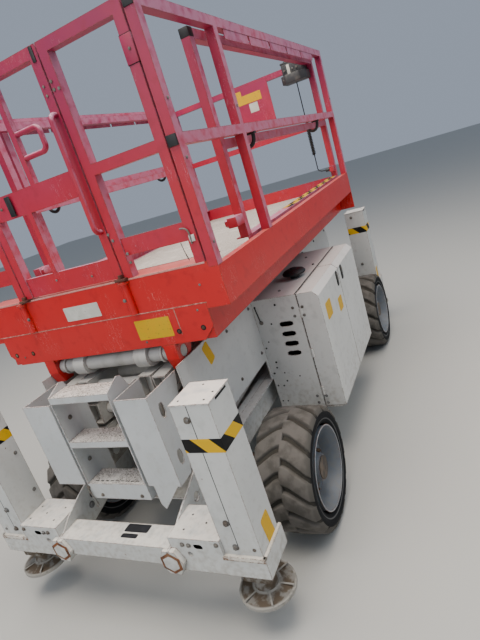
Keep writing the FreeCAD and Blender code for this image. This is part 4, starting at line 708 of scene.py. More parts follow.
@dataclass
class Studio:
    """Camera at the photograph's angle, a pale floor and soft light."""

    eye: Point = (-3.14046, -1.71835, 1.91775)
    right: Point = (0.37149, -0.88158, -0.29123)
    down: Point = (-0.39087, 0.13602, -0.91034)
    ahead: Point = (0.84215, 0.45202, -0.29405)
    lens_mm: float = 27.285
    sensor_mm: float = 36.0
    paper: str = "#B4B4B0"
    paper_half: float = 30.0
    sky: str = "#D3E1F6"
    sky_strength: float = 0.46
    # Name, power, size, place, aim and colour of a broad key from the right, a fill from the rear and a top
    lamps: tuple[tuple[str, float, float, Point, Point, str], ...] = (
        ("key", 120.0, 4.0, (0.5, -5.5, 6.0), (0.0, 0.0, 1.0), "#FFFFFF"),
        ("fill", 130.0, 5.0, (-6.5, 0.5, 3.6), (-0.5, 0.0, 1.0), "#FFFFFF"),
        ("top", 820.0, 6.0, (-1.2, -0.3, 7.0), (-0.2, 0.0, 1.0), "#FFF4E6"))

    def build(self) -> None:
        """Makes the camera, the floor, the sky and the lamps."""
        self.camera()
        self.floor()
        self.light()
        log.info("studio ready")

    def camera(self) -> None:
        """Stands the camera where the photograph was taken from."""
        data = bpy.data.cameras.new("camera")
        data.lens = self.lens_mm
        data.sensor_width = self.sensor_mm
        camera = bpy.data.objects.new("camera", data)
        up, back = -Vector(self.down), -Vector(self.ahead)
        turn = Matrix((self.right, up, back)).transposed()
        camera.matrix_world = Matrix.Translation(self.eye) @ turn.to_4x4()
        bpy.context.scene.collection.objects.link(camera)
        bpy.context.scene.camera = camera

    def floor(self) -> None:
        """Lays a plain pale floor."""
        mesh = bpy.data.meshes.new("floor")
        shape = bmesh.new()
        bmesh.ops.create_grid(shape, x_segments=1, y_segments=1, size=self.paper_half)
        shape.to_mesh(mesh)
        shape.free()
        floor = bpy.data.objects.new("floor", mesh)
        material = bpy.data.materials.new("floor_paper")
        material.use_nodes = True
        shader = material.node_tree.nodes["Principled BSDF"]
        shader.inputs["Base Color"].default_value = linear(self.paper)
        shader.inputs["Roughness"].default_value = 0.9
        mesh.materials.append(material)
        bpy.context.scene.collection.objects.link(floor)

    def light(self) -> None:
        """Gives an even pale sky and the lamps."""
        world = bpy.data.worlds.new("sky")
        world.use_nodes = True
        world.node_tree.nodes["Background"].inputs["Color"].default_value = linear(self.sky)
        world.node_tree.nodes["Background"].inputs["Strength"].default_value = self.sky_strength
        bpy.context.scene.world = world
        for name, power, size, place, aim, colour in self.lamps:
            data = bpy.data.lights.new(name, "AREA")
            data.energy = power
            data.size = size
            data.color = linear(colour)[:3]
            lamp = bpy.data.objects.new(name, data)
            lamp.location = place
            lamp.rotation_mode = "QUATERNION"
            lamp.rotation_quaternion = (Vector(aim) - Vector(place)).to_track_quat("-Z", "Y")
            bpy.context.scene.collection.objects.link(lamp)


def spline(name: str, points: Sequence[Point], radius: float) -> bpy.types.Object:
    """Makes a NURBS curve with the given control points, and links it.

    Args:
        name: The object's name.
        points: The control points.
        radius: Half the thickness, 0 for a bare line.

    Returns:
        The curve's object.
    """
    curve = bpy.data.curves.new(name, "CURVE")
    curve.dimensions = "3D"
    curve.bevel_depth = radius
    curve.bevel_resolution = 2
    curve.resolution_u = 3
    line = curve.splines.new("NURBS")
    line.points.add(len(points) - 1)
    for place, point in zip(line.points, points):
        place.co = (*point, 1.0)
    line.order_u = 3
    line.use_endpoint_u = True
    made = bpy.data.objects.new(name, curve)
    bpy.context.scene.collection.objects.link(made)
    return made


def line_of(curve: bpy.types.Object) -> list[Vector]:
    """Reads the line of a curve that has no bevel, and removes the curve.

    Args:
        curve: The curve's object.

    Returns:
        Points along the line.
    """
    mesh = bpy.data.meshes.new_from_object(curve)
    line = [vertex.co.copy() for vertex in mesh.vertices]
    bpy.data.objects.remove(curve)
    bpy.data.meshes.remove(mesh)
    return line


@dataclass
class ConsoleCord:
    """The console's cord: a straight fall, a curly part and a tail round into its plug."""

    route: tuple[Point, ...] = (
        (1.280, -0.560, 2.400), (1.280, -0.560, 2.240), (1.280, -0.560, 2.080), (1.280, -0.560, 1.790),
        (1.280, -0.560, 1.700), (1.280, -0.560, 1.640), (1.280, -0.628, 1.640))
    curly_high: float = 2.080
    curly_low: float = 1.790
    turns: int = 22
    per_turn: int = 12
    curl_radius: float = 0.0132
    cord_radius: float = 0.0045
    guide_steps: int = 24

    def build(self) -> None:
        points = [point for point in self.route if point[2] > self.curly_high]
        points += self.curls()
        points += [point for point in self.route if point[2] < self.curly_low]
        cord = spline("cord", points, self.cord_radius)
        cord.data.materials.append(Paints.cord.material())
        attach(cord, "extension")
        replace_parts(cord, "cord_straight", "cord_coil", "cord_tail")
        bare = line_of(spline("cord_line", points, 0.0))
        log.info("cord ready")

    def curls(self) -> list[Point]:
        """Winds the curly part's control points round the route's smooth line.

        Returns:
            The control points.
        """
        guide = spline("cord_guide", self.route, 0.0)
        guide.data.resolution_u = self.guide_steps
        line = line_of(guide)
        points = []
        count = self.turns * self.per_turn
        for index in range(count + 1):
            share = index / count
            height = self.curly_high + (self.curly_low - self.curly_high) * share
            near = min(line, key=lambda point: abs(point.z - height))
            # The first and last turns widen over two thirds of a turn
            swell = min(1.0, 1.5 * self.turns * share, 1.5 * self.turns * (1 - share))
            angle = FULL_TURN * self.turns * share
            reach = self.curl_radius * swell
            points.append((near.x + reach * math.cos(angle), near.y + reach * math.sin(angle), height))
        return points


def bevel(part: Mesh, edges: list[bmesh.types.BMEdge], width_mm: float, segments: int = 2) -> None:
    """Rounds edges.

    Args:
        part: The mesh.
        edges: Its edges to round.
        width_mm: How far the rounding reaches.
        segments: How many faces it has.
    """
    bmesh.ops.bevel(part, geom=edges, offset=width_mm / 1000, offset_type="OFFSET", segments=segments,
                    affect="EDGES", profile=0.5, material=-1, clamp_overlap=True)


def cuboid(corner: Point, other: Point) -> Mesh:
    """A plain block between two opposite corners, which come in either order.

    Args:
        corner: One corner.
        other: The opposite one.

    Returns:
        The block.
    """
    part = bmesh.new()
    bmesh.ops.create_cube(part, size=1.0)
    low, high = Vector([*map(min, corner, other)]), Vector([*map(max, corner, other)])
    bmesh.ops.scale(part, vec=high - low, verts=part.verts[:])
    bmesh.ops.translate(part, vec=(low + high) / 2, verts=part.verts[:])
    return part


def edges_along(part: Mesh, axis: int, least: float) -> list[bmesh.types.BMEdge]:
    """The edges that run further than a length along X, Y or Z.

    Args:
        part: The mesh.
        axis: 0, 1 or 2.
        least: The length.

    Returns:
        The edges.
    """
    return [edge for edge in part.edges if abs(edge.verts[0].co[axis] - edge.verts[1].co[axis]) > least]


def spun(outline: Sequence[Point], axis: Point, steps: int, closed: bool) -> Mesh:
    """Spins an outline round an axis through the origin.

    Args:
        outline: Its points.
        axis: The axis.
        steps: How many faces go round.
        closed: Whether the last point joins the first.

    Returns:
        The round shape, with an open outline's lower end filled.
    """
    part = bmesh.new()
    line = [part.verts.new(point) for point in outline]
    for first, second in zip(line, line[1:] + line[:1] * closed):
        part.edges.new((first, second))
    bmesh.ops.spin(part, geom=part.verts[:] + part.edges[:], cent=(0, 0, 0), axis=axis, angle=FULL_TURN,
                   steps=steps, use_merge=True)
    bmesh.ops.remove_doubles(part, verts=part.verts[:], dist=1e-5)
    if not closed:
        bmesh.ops.contextual_create(part, geom=[edge for edge in part.edges if edge.is_boundary])
    bmesh.ops.recalc_face_normals(part, faces=part.faces[:])
    return part


@dataclass
class Piece:
    """One new piece, gathered in one mesh from parts that bmesh operators shape."""

    name: str
    finishes: list[Finish] = field(default_factory=list)
    shape: Mesh = field(default_factory=bmesh.new)

    def take(self, part: Mesh, finish: Finish, place: Matrix = IDENTITY) -> None:
        """Puts a finished part, which is used up, at its place.

        Args:
            part: The part's mesh.
            finish: Its finish.
            place: Where it goes.
        """
        if finish not in self.finishes:
            self.finishes.append(finish)
        for face in part.faces:
            face.material_index = self.finishes.index(finish)
        bmesh.ops.transform(part, matrix=place, verts=part.verts[:])
        mesh = bpy.data.meshes.new("part")
        part.to_mesh(mesh)
        part.free()
        self.shape.from_mesh(mesh)
        bpy.data.meshes.remove(mesh)

    def block(self, finish: Finish, corner: Point, other: Point, edge_mm: float = 1.5) -> None:
        """Adds a block with rounded edges between two opposite corners.

        Args:
            finish: Its finish.
            corner: One corner.
            other: The opposite one.
            edge_mm: Radius of its edges.
        """
        part = cuboid(corner, other)
        bevel(part, part.edges[:], edge_mm)
        self.take(part, finish)

    def plate(self, finish: Finish, centre: Point, across: Point, up: Point, size: Point,
              corner_mm: float = 8.0) -> None:
        """Adds a thin plate with rounded corners.

        Args:
            finish: The plate's finish.
            centre: Middle of its back.
            across: Direction of its width.
            up: Direction of its height.
            size: Width, height and thickness in metres.
            corner_mm: Radius of its corners.
        """
        wide, tall, thick = size
        part = cuboid((-wide / 2, -tall / 2, 0.0), (wide / 2, tall / 2, thick))
        bevel(part, edges_along(part, 2, thick / 2), corner_mm, 4)
        first, second = Vector(across).normalized(), Vector(up).normalized()
        turn = Matrix((first, second, first.cross(second))).transposed()
        self.take(part, finish, Matrix.Translation(centre) @ turn.to_4x4())

    def studs(self, finish: Finish, centres: Iterable[Point], axis: Point, radius: float, height: float,
              sides: int = 20, edge_mm: float = 0.8) -> None:
        """Adds equal studs, each standing on its centre along one axis.

        Args:
            finish: Their finish.
            centres: Middle of each one's foot.
            axis: The way they stand.
            radius: Their radius.
            height: Their height.
            sides: 6 for a nut, more for a round stud.
            edge_mm: Radius of their edges.
        """
        turn = Vector(axis).to_track_quat("Z", "Y").to_matrix().to_4x4()
        for centre in centres:
            part = bmesh.new()
            bmesh.ops.create_cone(part, cap_ends=True, segments=sides, radius1=radius, radius2=radius,
                                  depth=height)
            rims = [edge for edge in part.edges
                    if abs(edge.verts[0].co.z - edge.verts[1].co.z) < height / 2]
            bevel(part, rims, edge_mm)
            bmesh.ops.translate(part, vec=(0, 0, height / 2), verts=part.verts[:])
            self.take(part, finish, Matrix.Translation(centre) @ turn)

    def bolts(self, centres: Iterable[Point], axis: Point, across: float) -> None:
        """Adds equal hexagon bolts on their washers.

        Args:
            centres: Middle of each bolt's foot.
            axis: The way they stand.
            across: Width over the flats.
        """
        washer = 0.0020
        for centre in centres:
            self.studs(Paints.zinc, [centre], axis, across * 0.78, washer, 20, 0.5)
            self.studs(Paints.zinc, [centre], axis, across * 0.577, washer + across * 0.42, 6, 1.0)

    def wire(self, finish: Finish, points: Sequence[Point], radius: float) -> None:
        """Adds a bent rod along a smooth line.

        Args:
            finish: Its finish.
            points: The line's control points.
            radius: Its radius.
        """
        line = spline("rod", points, radius)
        line.data.use_fill_caps = True
        mesh = bpy.data.meshes.new_from_object(line)
        part = bmesh.new()
        part.from_mesh(mesh)
        bmesh.ops.remove_doubles(part, verts=part.verts[:], dist=1e-6)
        bmesh.ops.recalc_face_normals(part, faces=part.faces[:])
        bpy.data.objects.remove(line)
        bpy.data.meshes.remove(mesh)
        self.take(part, finish)

    def done(self, body: str, smooth_deg: float = 35.0) -> bpy.types.Object:
        """Finishes the piece and makes it ride on its body.

        Args:
            body: The CAD body that carries it.
            smooth_deg: Edges that bend more than this stay sharp.

        Returns:
            The piece.
        """
        mesh = bpy.data.meshes.new(self.name)
        self.shape.to_mesh(mesh)
        self.shape.free()
        for finish in self.finishes:
            mesh.materials.append(finish.material())
        mesh.shade_smooth()
        mesh.set_sharp_from_angle(angle=math.radians(smooth_deg))
        piece = bpy.data.objects.new(self.name, mesh)
        bpy.context.scene.collection.objects.link(piece)
        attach(piece, body)
        log.info("%s ready: %d faces", self.name, len(mesh.polygons))
        return piece


@dataclass
class Tyre:
    """A tractor-tread tyre: round carcass, bulging sidewalls and curved lugs in two staggered rows."""

    name: str
    body: str
    centre: Point
    steps: int = 96
    lugs: int = 16
    base_half: float = 0.046
    top_half: float = 0.034
    start: float = -0.006
    end: float = 0.1475
    lug_height: float = 0.020
    lug_edge_mm: float = 5.0
    slant_deg: float = 37.0
    hook: float = 0.35
    hook_from: float = 0.05
    root_radius: float = 0.304
    root_shoulder: float = 0.124
    root_run: float = 0.0235
    root_drop: float = 0.022
    crown: float = 0.3295
    crowning: float = 0.35
    crest_shoulder: float = 0.128
    crest_run: float = 0.0195
    crest_drop: float = 0.020
    profile: Pairs = (
        (-0.128, 0.2265), (-0.137, 0.232), (-0.141, 0.243), (-0.146, 0.256), (-0.1495, 0.270),
        (-0.1495, 0.284), (-0.146, 0.295), (-0.138, 0.303), (-0.124, 0.3075), (-0.08, 0.3095), (0.0, 0.3105))

    def build(self) -> None:
        """Makes the tyre in place of its plain node."""
        piece = Piece(self.name + "_tread")
        place = Matrix.Translation(self.centre)
        half = [(0.0, across, radius) for across, radius in self.profile]
        other = [(0.0, -across, radius) for across, radius in reversed(self.profile[:-1])]
        piece.take(spun(half + other, LEFT, self.steps, True), Paints.rubber, place)
        for index in range(self.lugs):
            for mirror, lag in ((1.0, 0.0), (-1.0, 0.5)):
                part = self.lug()
                bmesh.ops.scale(part, vec=(1, mirror, 1), verts=part.verts[:])
                bmesh.ops.recalc_face_normals(part, faces=part.faces[:])
                turn = Matrix.Rotation(FULL_TURN * (index + lag) / self.lugs, 4, "Y")
                piece.take(part, Paints.lug, place @ turn)
        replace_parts(piece.done(self.body, 40), self.name)

    def root(self, across: float) -> float:
        """Radius of the carcass a little under its skin."""
        past = max(0.0, abs(across) - self.root_shoulder) / self.root_run
        return self.root_radius - self.root_drop * past ** 2

    def crest(self, across: float) -> float:
        """Radius of a lug's top: crowned, and rounded down over the shoulder."""
        past = max(0.0, abs(across) - self.crest_shoulder) / self.crest_run
        return self.crown - self.crowning * across ** 2 - self.crest_drop * past ** 2

    def lug(self) -> Mesh:
        """Shapes one lug as a rounded bar, then lays it slanted over the tread.

        Returns:
            The lug, over the wheel's top.
        """
        part = cuboid((-self.base_half, self.start, 0.0), (self.base_half, self.end, self.lug_height))
        middle = self.lug_height / 2
        for vertex in part.verts:
            if vertex.co.z > middle:
                vertex.co.x *= self.top_half / self.base_half
        along = edges_along(part, 1, (self.end - self.start) / 2)
        bmesh.ops.subdivide_edges(part, edges=along, cuts=9, use_grid_fill=True)
        # The top's outline is rounded, and the lines across it that the cuts made are left
        crossing = set(edges_along(part, 0, 0.01))
        top = [edge for edge in part.edges if min(vertex.co.z for vertex in edge.verts) > middle
               and not (edge in crossing and len(edge.link_faces) == 2
                        and all(abs(face.normal.z) > 0.9 for face in edge.link_faces))]
        bevel(part, top, self.lug_edge_mm, 2)
        slant = math.radians(self.slant_deg)
        for vertex in part.verts:
            side, across, height = vertex.co
            root = self.root(across)
            radius = root + (self.crest(across) - root) * height / self.lug_height
            bend = self.hook * max(0.0, self.hook_from - across) ** 2 / self.hook_from
            angle = (side / math.cos(slant) - math.tan(slant) * across - bend) / self.crown
            vertex.co = (radius * math.sin(angle), across, radius * math.cos(angle))
        bmesh.ops.recalc_face_normals(part, faces=part.faces[:])
        return part


@dataclass
class Wheel:
    """What sits in a rim: the rusty ring, nuts on their circle, the hub's cap and the bright bead."""

    name: str
    body: str
    centre: Point
    out: float
    disc: float = 0.049
    hub: float = 0.1105
    ring_radius: float = 0.137
    cap_radius: float = 0.062
    nut_circle: float = 0.118
    nuts: int = 9
    flange: float = 0.146
    bead: float = 0.2175
    bead_thick: float = 0.0022

    def build(self) -> None:
        """Puts the nuts round the hub and a worn bright bead on the rim's edge."""
        piece = Piece(self.name)
        x, y, z = self.centre
        axis = (0, self.out, 0)
        face = y + self.out * self.disc
        piece.studs(Paints.hub, [(x, face - self.out * 0.0005, z)], axis, self.ring_radius, 0.0020, 48)
        piece.studs(Paints.hub, [(x, y + self.out * self.hub, z)], axis, self.cap_radius, 0.0080, 32, 3)
        turns = [FULL_TURN * index / self.nuts for index in range(self.nuts)]
        nuts = [(x + self.nut_circle * math.sin(turn), face, z + self.nut_circle * math.cos(turn))
                for turn in turns]
        # Washer, nut and the wheel stud's end
        for radius, height, sides, edge_mm in ((0.017, 0.003, 20, 0.8), (0.0125, 0.020, 6, 1.2),
                                               (0.0065, 0.027, 12, 0.8)):
            piece.studs(Paints.iron, nuts, axis, radius, height, sides, edge_mm)
        circle = [(self.bead + self.bead_thick * math.cos(FULL_TURN * index / 8),
                   self.bead_thick * math.sin(FULL_TURN * index / 8), 0.0) for index in range(8)]
        place = Matrix.Translation((x, y + self.out * self.flange, z))
        piece.take(spun(circle, LEFT, 64, True), Paints.bead, place)
        piece.done(self.body)


@dataclass
class Column:
    """Trim of one outrigger column: tape, seam, bolts, lid gap, blank plate and foot guard."""

    name: str
    end: End
    side: Side
    size: float = 0.177
    outer_x: float = 1.828
    outer_y: float = 0.785
    low: float = 0.474
    top: float = 1.158
    tape_low: float = 0.950
    tape_high: float = 1.012
    tape_skin: float = 0.0007
    seam_in: float = 0.076
    seam_half: float = 0.0016
    guard_x: float = 1.842
    guard_y: float = 0.799
    guard_low: float = 0.434
    guard_high: float = 0.441
    # Across from the inner edge, and height
    end_bolts: Pairs = ((0.061, 1.097), (0.060, 0.606), (0.064, 0.482))
    # In from the outer edge, and height
    back_bolts: Pairs = ((0.120, 1.116), (0.112, 0.636))
    clamp_heights: tuple[float, ...] = (0.62, 0.86, 1.08)
    # In from the end face, and across from the inner edge
    lid_screws: Pairs = ((0.03, 0.028), (0.028, 0.145), (0.15, 0.08), (0.085, 0.155))

    def build(self) -> None:
        """Adds every piece of trim."""
        piece = Piece(self.name)
        end, side = self.end.value, self.side.value
        x_out, y_out = end * self.outer_x, side * self.outer_y
        x_in, y_in = x_out - end * self.size, y_out - side * self.size
        out = (end, 0, 0)
        skin = self.tape_skin
        band = cuboid((x_in - end * skin, y_in - side * skin, self.tape_low),
                      (x_out + end * skin, y_out + side * skin, self.tape_high))
        bevel(band, edges_along(band, 2, 0.01), 2.0, 3)
        piece.take(band, Paints.tape)
        # Seam of the end face's narrow inner strip, and the bolts down it
        seam, face = y_in + side * self.seam_in, x_out + end * 0.0004
        piece.block(Paints.gap, (face, seam - self.seam_half, self.low),
                    (face - end * 0.003, seam + self.seam_half, self.top), 0.2)
        piece.bolts([(x_out, y_in + side * across, height) for across, height in self.end_bolts], out, 0.020)
        piece.studs(Paints.zinc, [(x_out, y_out - side * 0.03, self.low)], out, 0.008, 0.004)
        # The lid stands off its walls by a gap, whose shade is painted as a dark strip, and has small screws
        piece.block(Paints.gap, (x_out - end * 0.148, y_out, self.top - 0.011),
                    (x_out - end * 0.052, y_out + side * 0.0012, self.top - 0.001), 0.3)
        screws = [(x_out - end * along, y_in + side * across, self.top + 0.006)
                  for along, across in self.lid_screws]
        piece.studs(Paints.gap, screws, UP, 0.0045, 0.0012, 12, 0.3)
        # Blank yellow plate low on the outer face, on the side that the photograph shows
        if self.side is Side.RIGHT:
            piece.plate(Paints.yellow, (x_out - end * 0.105, y_out, 0.498), (-side, 0, 0.12),
                        (0.12 * side, 0, 1), (0.072, 0.138, FILM), 12)
        self.foot_guard(piece, x_in, y_in, y_out)
        # Bolts down the face towards the machine's middle, and the inner face's clamps
        piece.bolts([(x_in, y_out - side * inward, height) for inward, height in self.back_bolts],
                    (-end, 0, 0), 0.018)
        piece.bolts([(x_in + end * 0.03, y_in, height) for height in self.clamp_heights],
                    (0, -side, 0), 0.014)
        piece.done("chassis")

    def foot_guard(self, piece: Piece, x_in: float, y_in: float, y_out: float) -> None:
        """Adds the pale flange of the foot guard: its lip, its end and its outer side.

        Args:
            piece: The piece that takes the parts.
            x_in: The column's inner face along X.
            y_in: Its inner face along Y.
            y_out: Its outer face along Y.
        """
        end, side = self.end.value, self.side.value
        x, y = end * self.guard_x, side * self.guard_y
        piece.block(Paints.guard, (x, y_in - side * 0.010, 0.419),
                    (x + end * 0.0016, y_out + side * 0.010, 0.4405), 0.6)
        piece.block(Paints.guard, (x, y_in - side * 0.014, self.guard_low),
                    (x - end * 0.016, y_out + side * 0.014, self.guard_high))
        piece.block(Paints.guard, (x_in - end * 0.014, y, self.guard_low),
                    (x, y - side * 0.014, self.guard_high))


@dataclass
class EndBeam:
    """Trim of an outrigger beam: anti-slip patches, rusty hexagon ends, wing bolts and hook holes."""

    name: str
    end: End
    top: float = 0.463
    wing_top: float = 0.518
    face: float = 1.842
    tip: float = 1.8695
    # Place along and across, width and depth
    patches: tuple[tuple[float, float, float, float], ...] = (
        (1.750, 0.096, 0.140, 0.050), (1.799, 0.078, 0.095, 0.026))
    face_bolts: Pairs = ((0.414, 0.486), (0.446, 0.484), (0.588, 0.497))
    wing_holes: Pairs = (
        (1.70, 0.405), (1.79, 0.405), (1.70, 0.58), (1.79, 0.58), (1.745, 0.50))

    def build(self) -> None:
        """Adds the beam's trim at one end of the machine."""
        piece = Piece(self.name)
        end = self.end.value
        out = (end, 0, 0)
        for x, y, wide, deep in self.patches:
            piece.plate(Paints.patch, (end * x, end * y, self.top), LEFT, REAR, (wide, deep, 0.0014), 7)
        for side in (-1, 1):
            tip = [(end * self.tip, side * 0.340, 0.399)]
            piece.studs(Paints.rust, tip, out, 0.058, 0.0035, 6, 1.2)
            piece.studs(Paints.chassis, tip, out, 0.043, 0.0048, 6, 1.0)
            piece.bolts([(end * self.face, side * across, height) for across, height in self.face_bolts],
                        out, 0.015)
            holes = [(end * x, side * across, self.wing_top) for x, across in self.wing_holes]
            piece.studs(Paints.gap, holes, UP, 0.005, 0.0012, 12, 0.3)
            # Oval hole in the wing's face
            piece.plate(Paints.gap, (end * self.face, side * 0.492, 0.479), LEFT, (0, 0.2, 1),
                        (0.044, 0.024, FILM), 11)
            # Pivot bolt through the fork plate, on both faces
            for inwards, reach in ((1, 0.335), (-1, 0.345)):
                spot, axis = [(end * 1.60, side * reach, 0.455)], (0, -side * inwards, 0)
                piece.studs(Paints.zinc, spot, axis, 0.019, 0.004)
                piece.studs(Paints.zinc, spot, axis, 0.013, 0.012, 6, 1.2)
        piece.done("chassis")


@dataclass
class SideBox:
    """Trim of one side box: holes, hinge bolts, latches, blank plates and the caps on its top."""

    side: Side
    outer: float = 0.872
    rear: float = -0.567
    front: float = 0.499
    top: float = 1.126
    hinge_heights: tuple[float, ...] = (1.044, 0.991, 0.440, 0.392)
    # Across, height and radius in millimetres
    holes: tuple[tuple[float, float, float], ...] = (
        (0.484, 0.845, 5), (0.456, 0.804, 6), (0.493, 0.701, 7), (0.488, 0.663, 6), (0.459, 0.624, 7),
        (0.529, 0.622, 5), (0.624, 0.591, 5), (0.531, 0.564, 6), (0.460, 0.534, 6), (0.500, 0.531, 6),
        (0.461, 0.420, 5), (0.496, 0.418, 5), (0.400, 1.090, 8), (0.459, 1.082, 7), (0.594, 1.080, 7),
        (0.537, 0.962, 6))
    pull_wire: tuple[Point, ...] = ((-0.571, 0.459, 1.086), (-0.574, 0.466, 1.04), (-0.572, 0.472, 0.985))
    top_bolts: Pairs = ((0.30, 0.571), (0.052, 0.690), (-0.45, 0.60), (-0.48, 0.45))
    # Each door's end of the machine, and the place of its latch
    doors: tuple[tuple[End, float], ...] = ((End.REAR, -0.098), (End.FRONT, 0.046))
    # Blank plates of the right rear door: place along, height, width, depth and corner in millimetres
    door_plates: tuple[tuple[float, ...], ...] = (
        (-0.425, 0.955, 0.120, 0.106, 13), (-0.150, 0.886, 0.098, 0.092, 12))
    # Reach as a share of the cap's radius, and height on the larger cap
    cap_outline: Pairs = (
        (0.0, 0.060), (0.55, 0.058), (0.85, 0.050), (1.0, 0.036), (0.97, 0.026), (0.62, 0.022),
        (0.42, 0.016), (0.40, 0.0))
    cap_radius: float = 0.078

    def build(self) -> None:
        """Adds the fixed part's trim and each door's own."""
        side, side_name = self.side.value, self.side.name.lower()
        fixed = Piece(f"side_box_{side_name}_trim")
        for across, height, radius_mm in self.holes:
            hole = [(self.rear, side * across, height)]
            fixed.studs(Paints.gap, hole, REAR, radius_mm / 1000, FILM, 16, 0.2)
        for height in self.hinge_heights:
            fixed.bolts([(self.rear, side * 0.700, height)], REAR, 0.012)
            fixed.bolts([(self.front, side * 0.700, height)], (1, 0, 0), 0.012)
        # Pull wire from the top edge to its bolt
        fixed.wire(Paints.black, [(x, side * across, height) for x, across, height in self.pull_wire], 0.0036)
        fixed.bolts([(self.rear, side * 0.474, 0.978)], REAR, 0.018)
        # Rubber cap over the air intake, and the filler behind it
        self.cap(fixed, -0.190, 0.628, self.cap_radius)
        self.cap(fixed, 0.440, 0.430, 0.046)
        fixed.bolts([(x, side * across, self.top) for x, across in self.top_bolts], UP, 0.013)
        # Dark seam between the hood and its doors
        fixed.block(Paints.gap, (-0.566, side * 0.7375, 1.104), (0.498, side * 0.7408, 1.1225), 0.2)
        fixed.block(Paints.gap, (-0.566, side * 0.7290, 1.1255), (0.498, side * 0.7368, 1.1268), 0.2)
        fixed.done("chassis")
        for end, latch in self.doors:
            part = end.name.lower()
            edge = self.rear if end is End.REAR else self.front
            door = Piece(f"side_box_{side_name}_{part}_door_trim")
            self.latch(door, latch)
            if end is End.REAR and self.side is Side.RIGHT:
                for x, height, wide, tall, corner_mm in self.door_plates:
                    door.plate(Paints.yellow, (x, side * self.outer, height), (-side, 0, 0), UP,
                               (wide, tall, FILM), corner_mm)
            door.bolts([(edge + end.value * 0.007, side * 0.762, height) for height in self.hinge_heights],
                       (end.value, 0, 0), 0.012)
            door.done(f"door_{side_name}_{part}")

    def cap(self, piece: Piece, x: float, across: float, radius: float) -> None:
        """Spins a mushroom cap with a pinched neck, and adds its knob.

        Args:
            piece: The piece that takes the parts.
            x: Place along the box.
            across: Distance from the machine's middle.
            radius: The cap's radius.
        """
        scale = radius / self.cap_radius
        y = self.side.value * across
        outline = [(reach * radius, 0.0, height * scale) for reach, height in self.cap_outline]
        piece.take(spun(outline, UP, 40, False), Paints.black, Matrix.Translation((x, y, self.top)))
        piece.studs(Paints.black, [(x, y, self.top + 0.056 * scale)], UP, radius * 0.28, 0.010, 24, 2)

    def latch(self, piece: Piece, x: float) -> None:
        """Adds a recessed pull: dark gap, black tray, pale tongue.

        Args:
            piece: The piece that takes the parts.
            x: Place along the door.
        """
        for finish, height, size, corner_mm in ((Paints.gap, 1.040, (0.038, 0.100, 0.0030), 14),
                                                (Paints.black, 1.040, (0.030, 0.090, 0.0060), 12),
                                                (Paints.zinc, 1.052, (0.017, 0.046, 0.0100), 6)):
            centre = (x, self.side.value * self.outer, height)
            piece.plate(finish, centre, (-self.side.value, 0, 0), UP, size, corner_mm)


@dataclass
class RearSteps:
    """Grit on the treads, slots of the lowest one, bolts and the latch lever."""

    edge: float = -1.682
    run: float = 0.118
    half: float = 0.176
    tops: tuple[float, ...] = (1.162, 0.914, 0.666)
    slots: int = 9
    slot_pitch: float = 0.032
    kick_bolts: tuple[float, ...] = (0.114, -0.136)
    stringer_bolts: Pairs = ((-1.616, 1.018), (-1.613, 0.769))
    lever: tuple[Point, ...] = (
        (-1.686, 0.188, 0.655), (-1.692, 0.184, 0.620), (-1.690, 0.172, 0.575), (-1.688, 0.168, 0.545),
        (-1.688, 0.176, 0.523), (-1.686, 0.186, 0.528))

    def build(self) -> None:
        """Adds the steps' trim."""
        piece = Piece("rear_steps_trim")
        for top in self.tops:
            piece.block(Paints.grit, (self.edge + 0.002, -self.half, top - 0.001),
                        (self.edge + self.run - 0.002, self.half, top + 0.0016), 0.8)
        for index in range(self.slots):
            across = 0.133 - self.slot_pitch * index
            piece.block(Paints.gap, (self.edge + 0.019, across - 0.011, 0.6660),
                        (self.edge + 0.025, across + 0.011, 0.6682), 0.4)
        piece.bolts([(self.edge, across, 0.599) for across in self.kick_bolts], REAR, 0.013)
        for side in (-1, 1):
            piece.bolts([(x, side * 0.178, height) for x, height in self.stringer_bolts],
                        (0, -side, 0), 0.016)
        # Bolt and hooked lever under the left cover
        piece.bolts([(self.edge, 0.186, 0.646)], REAR, 0.013)
        piece.wire(Paints.zinc, self.lever, 0.004)
        piece.done("chassis")


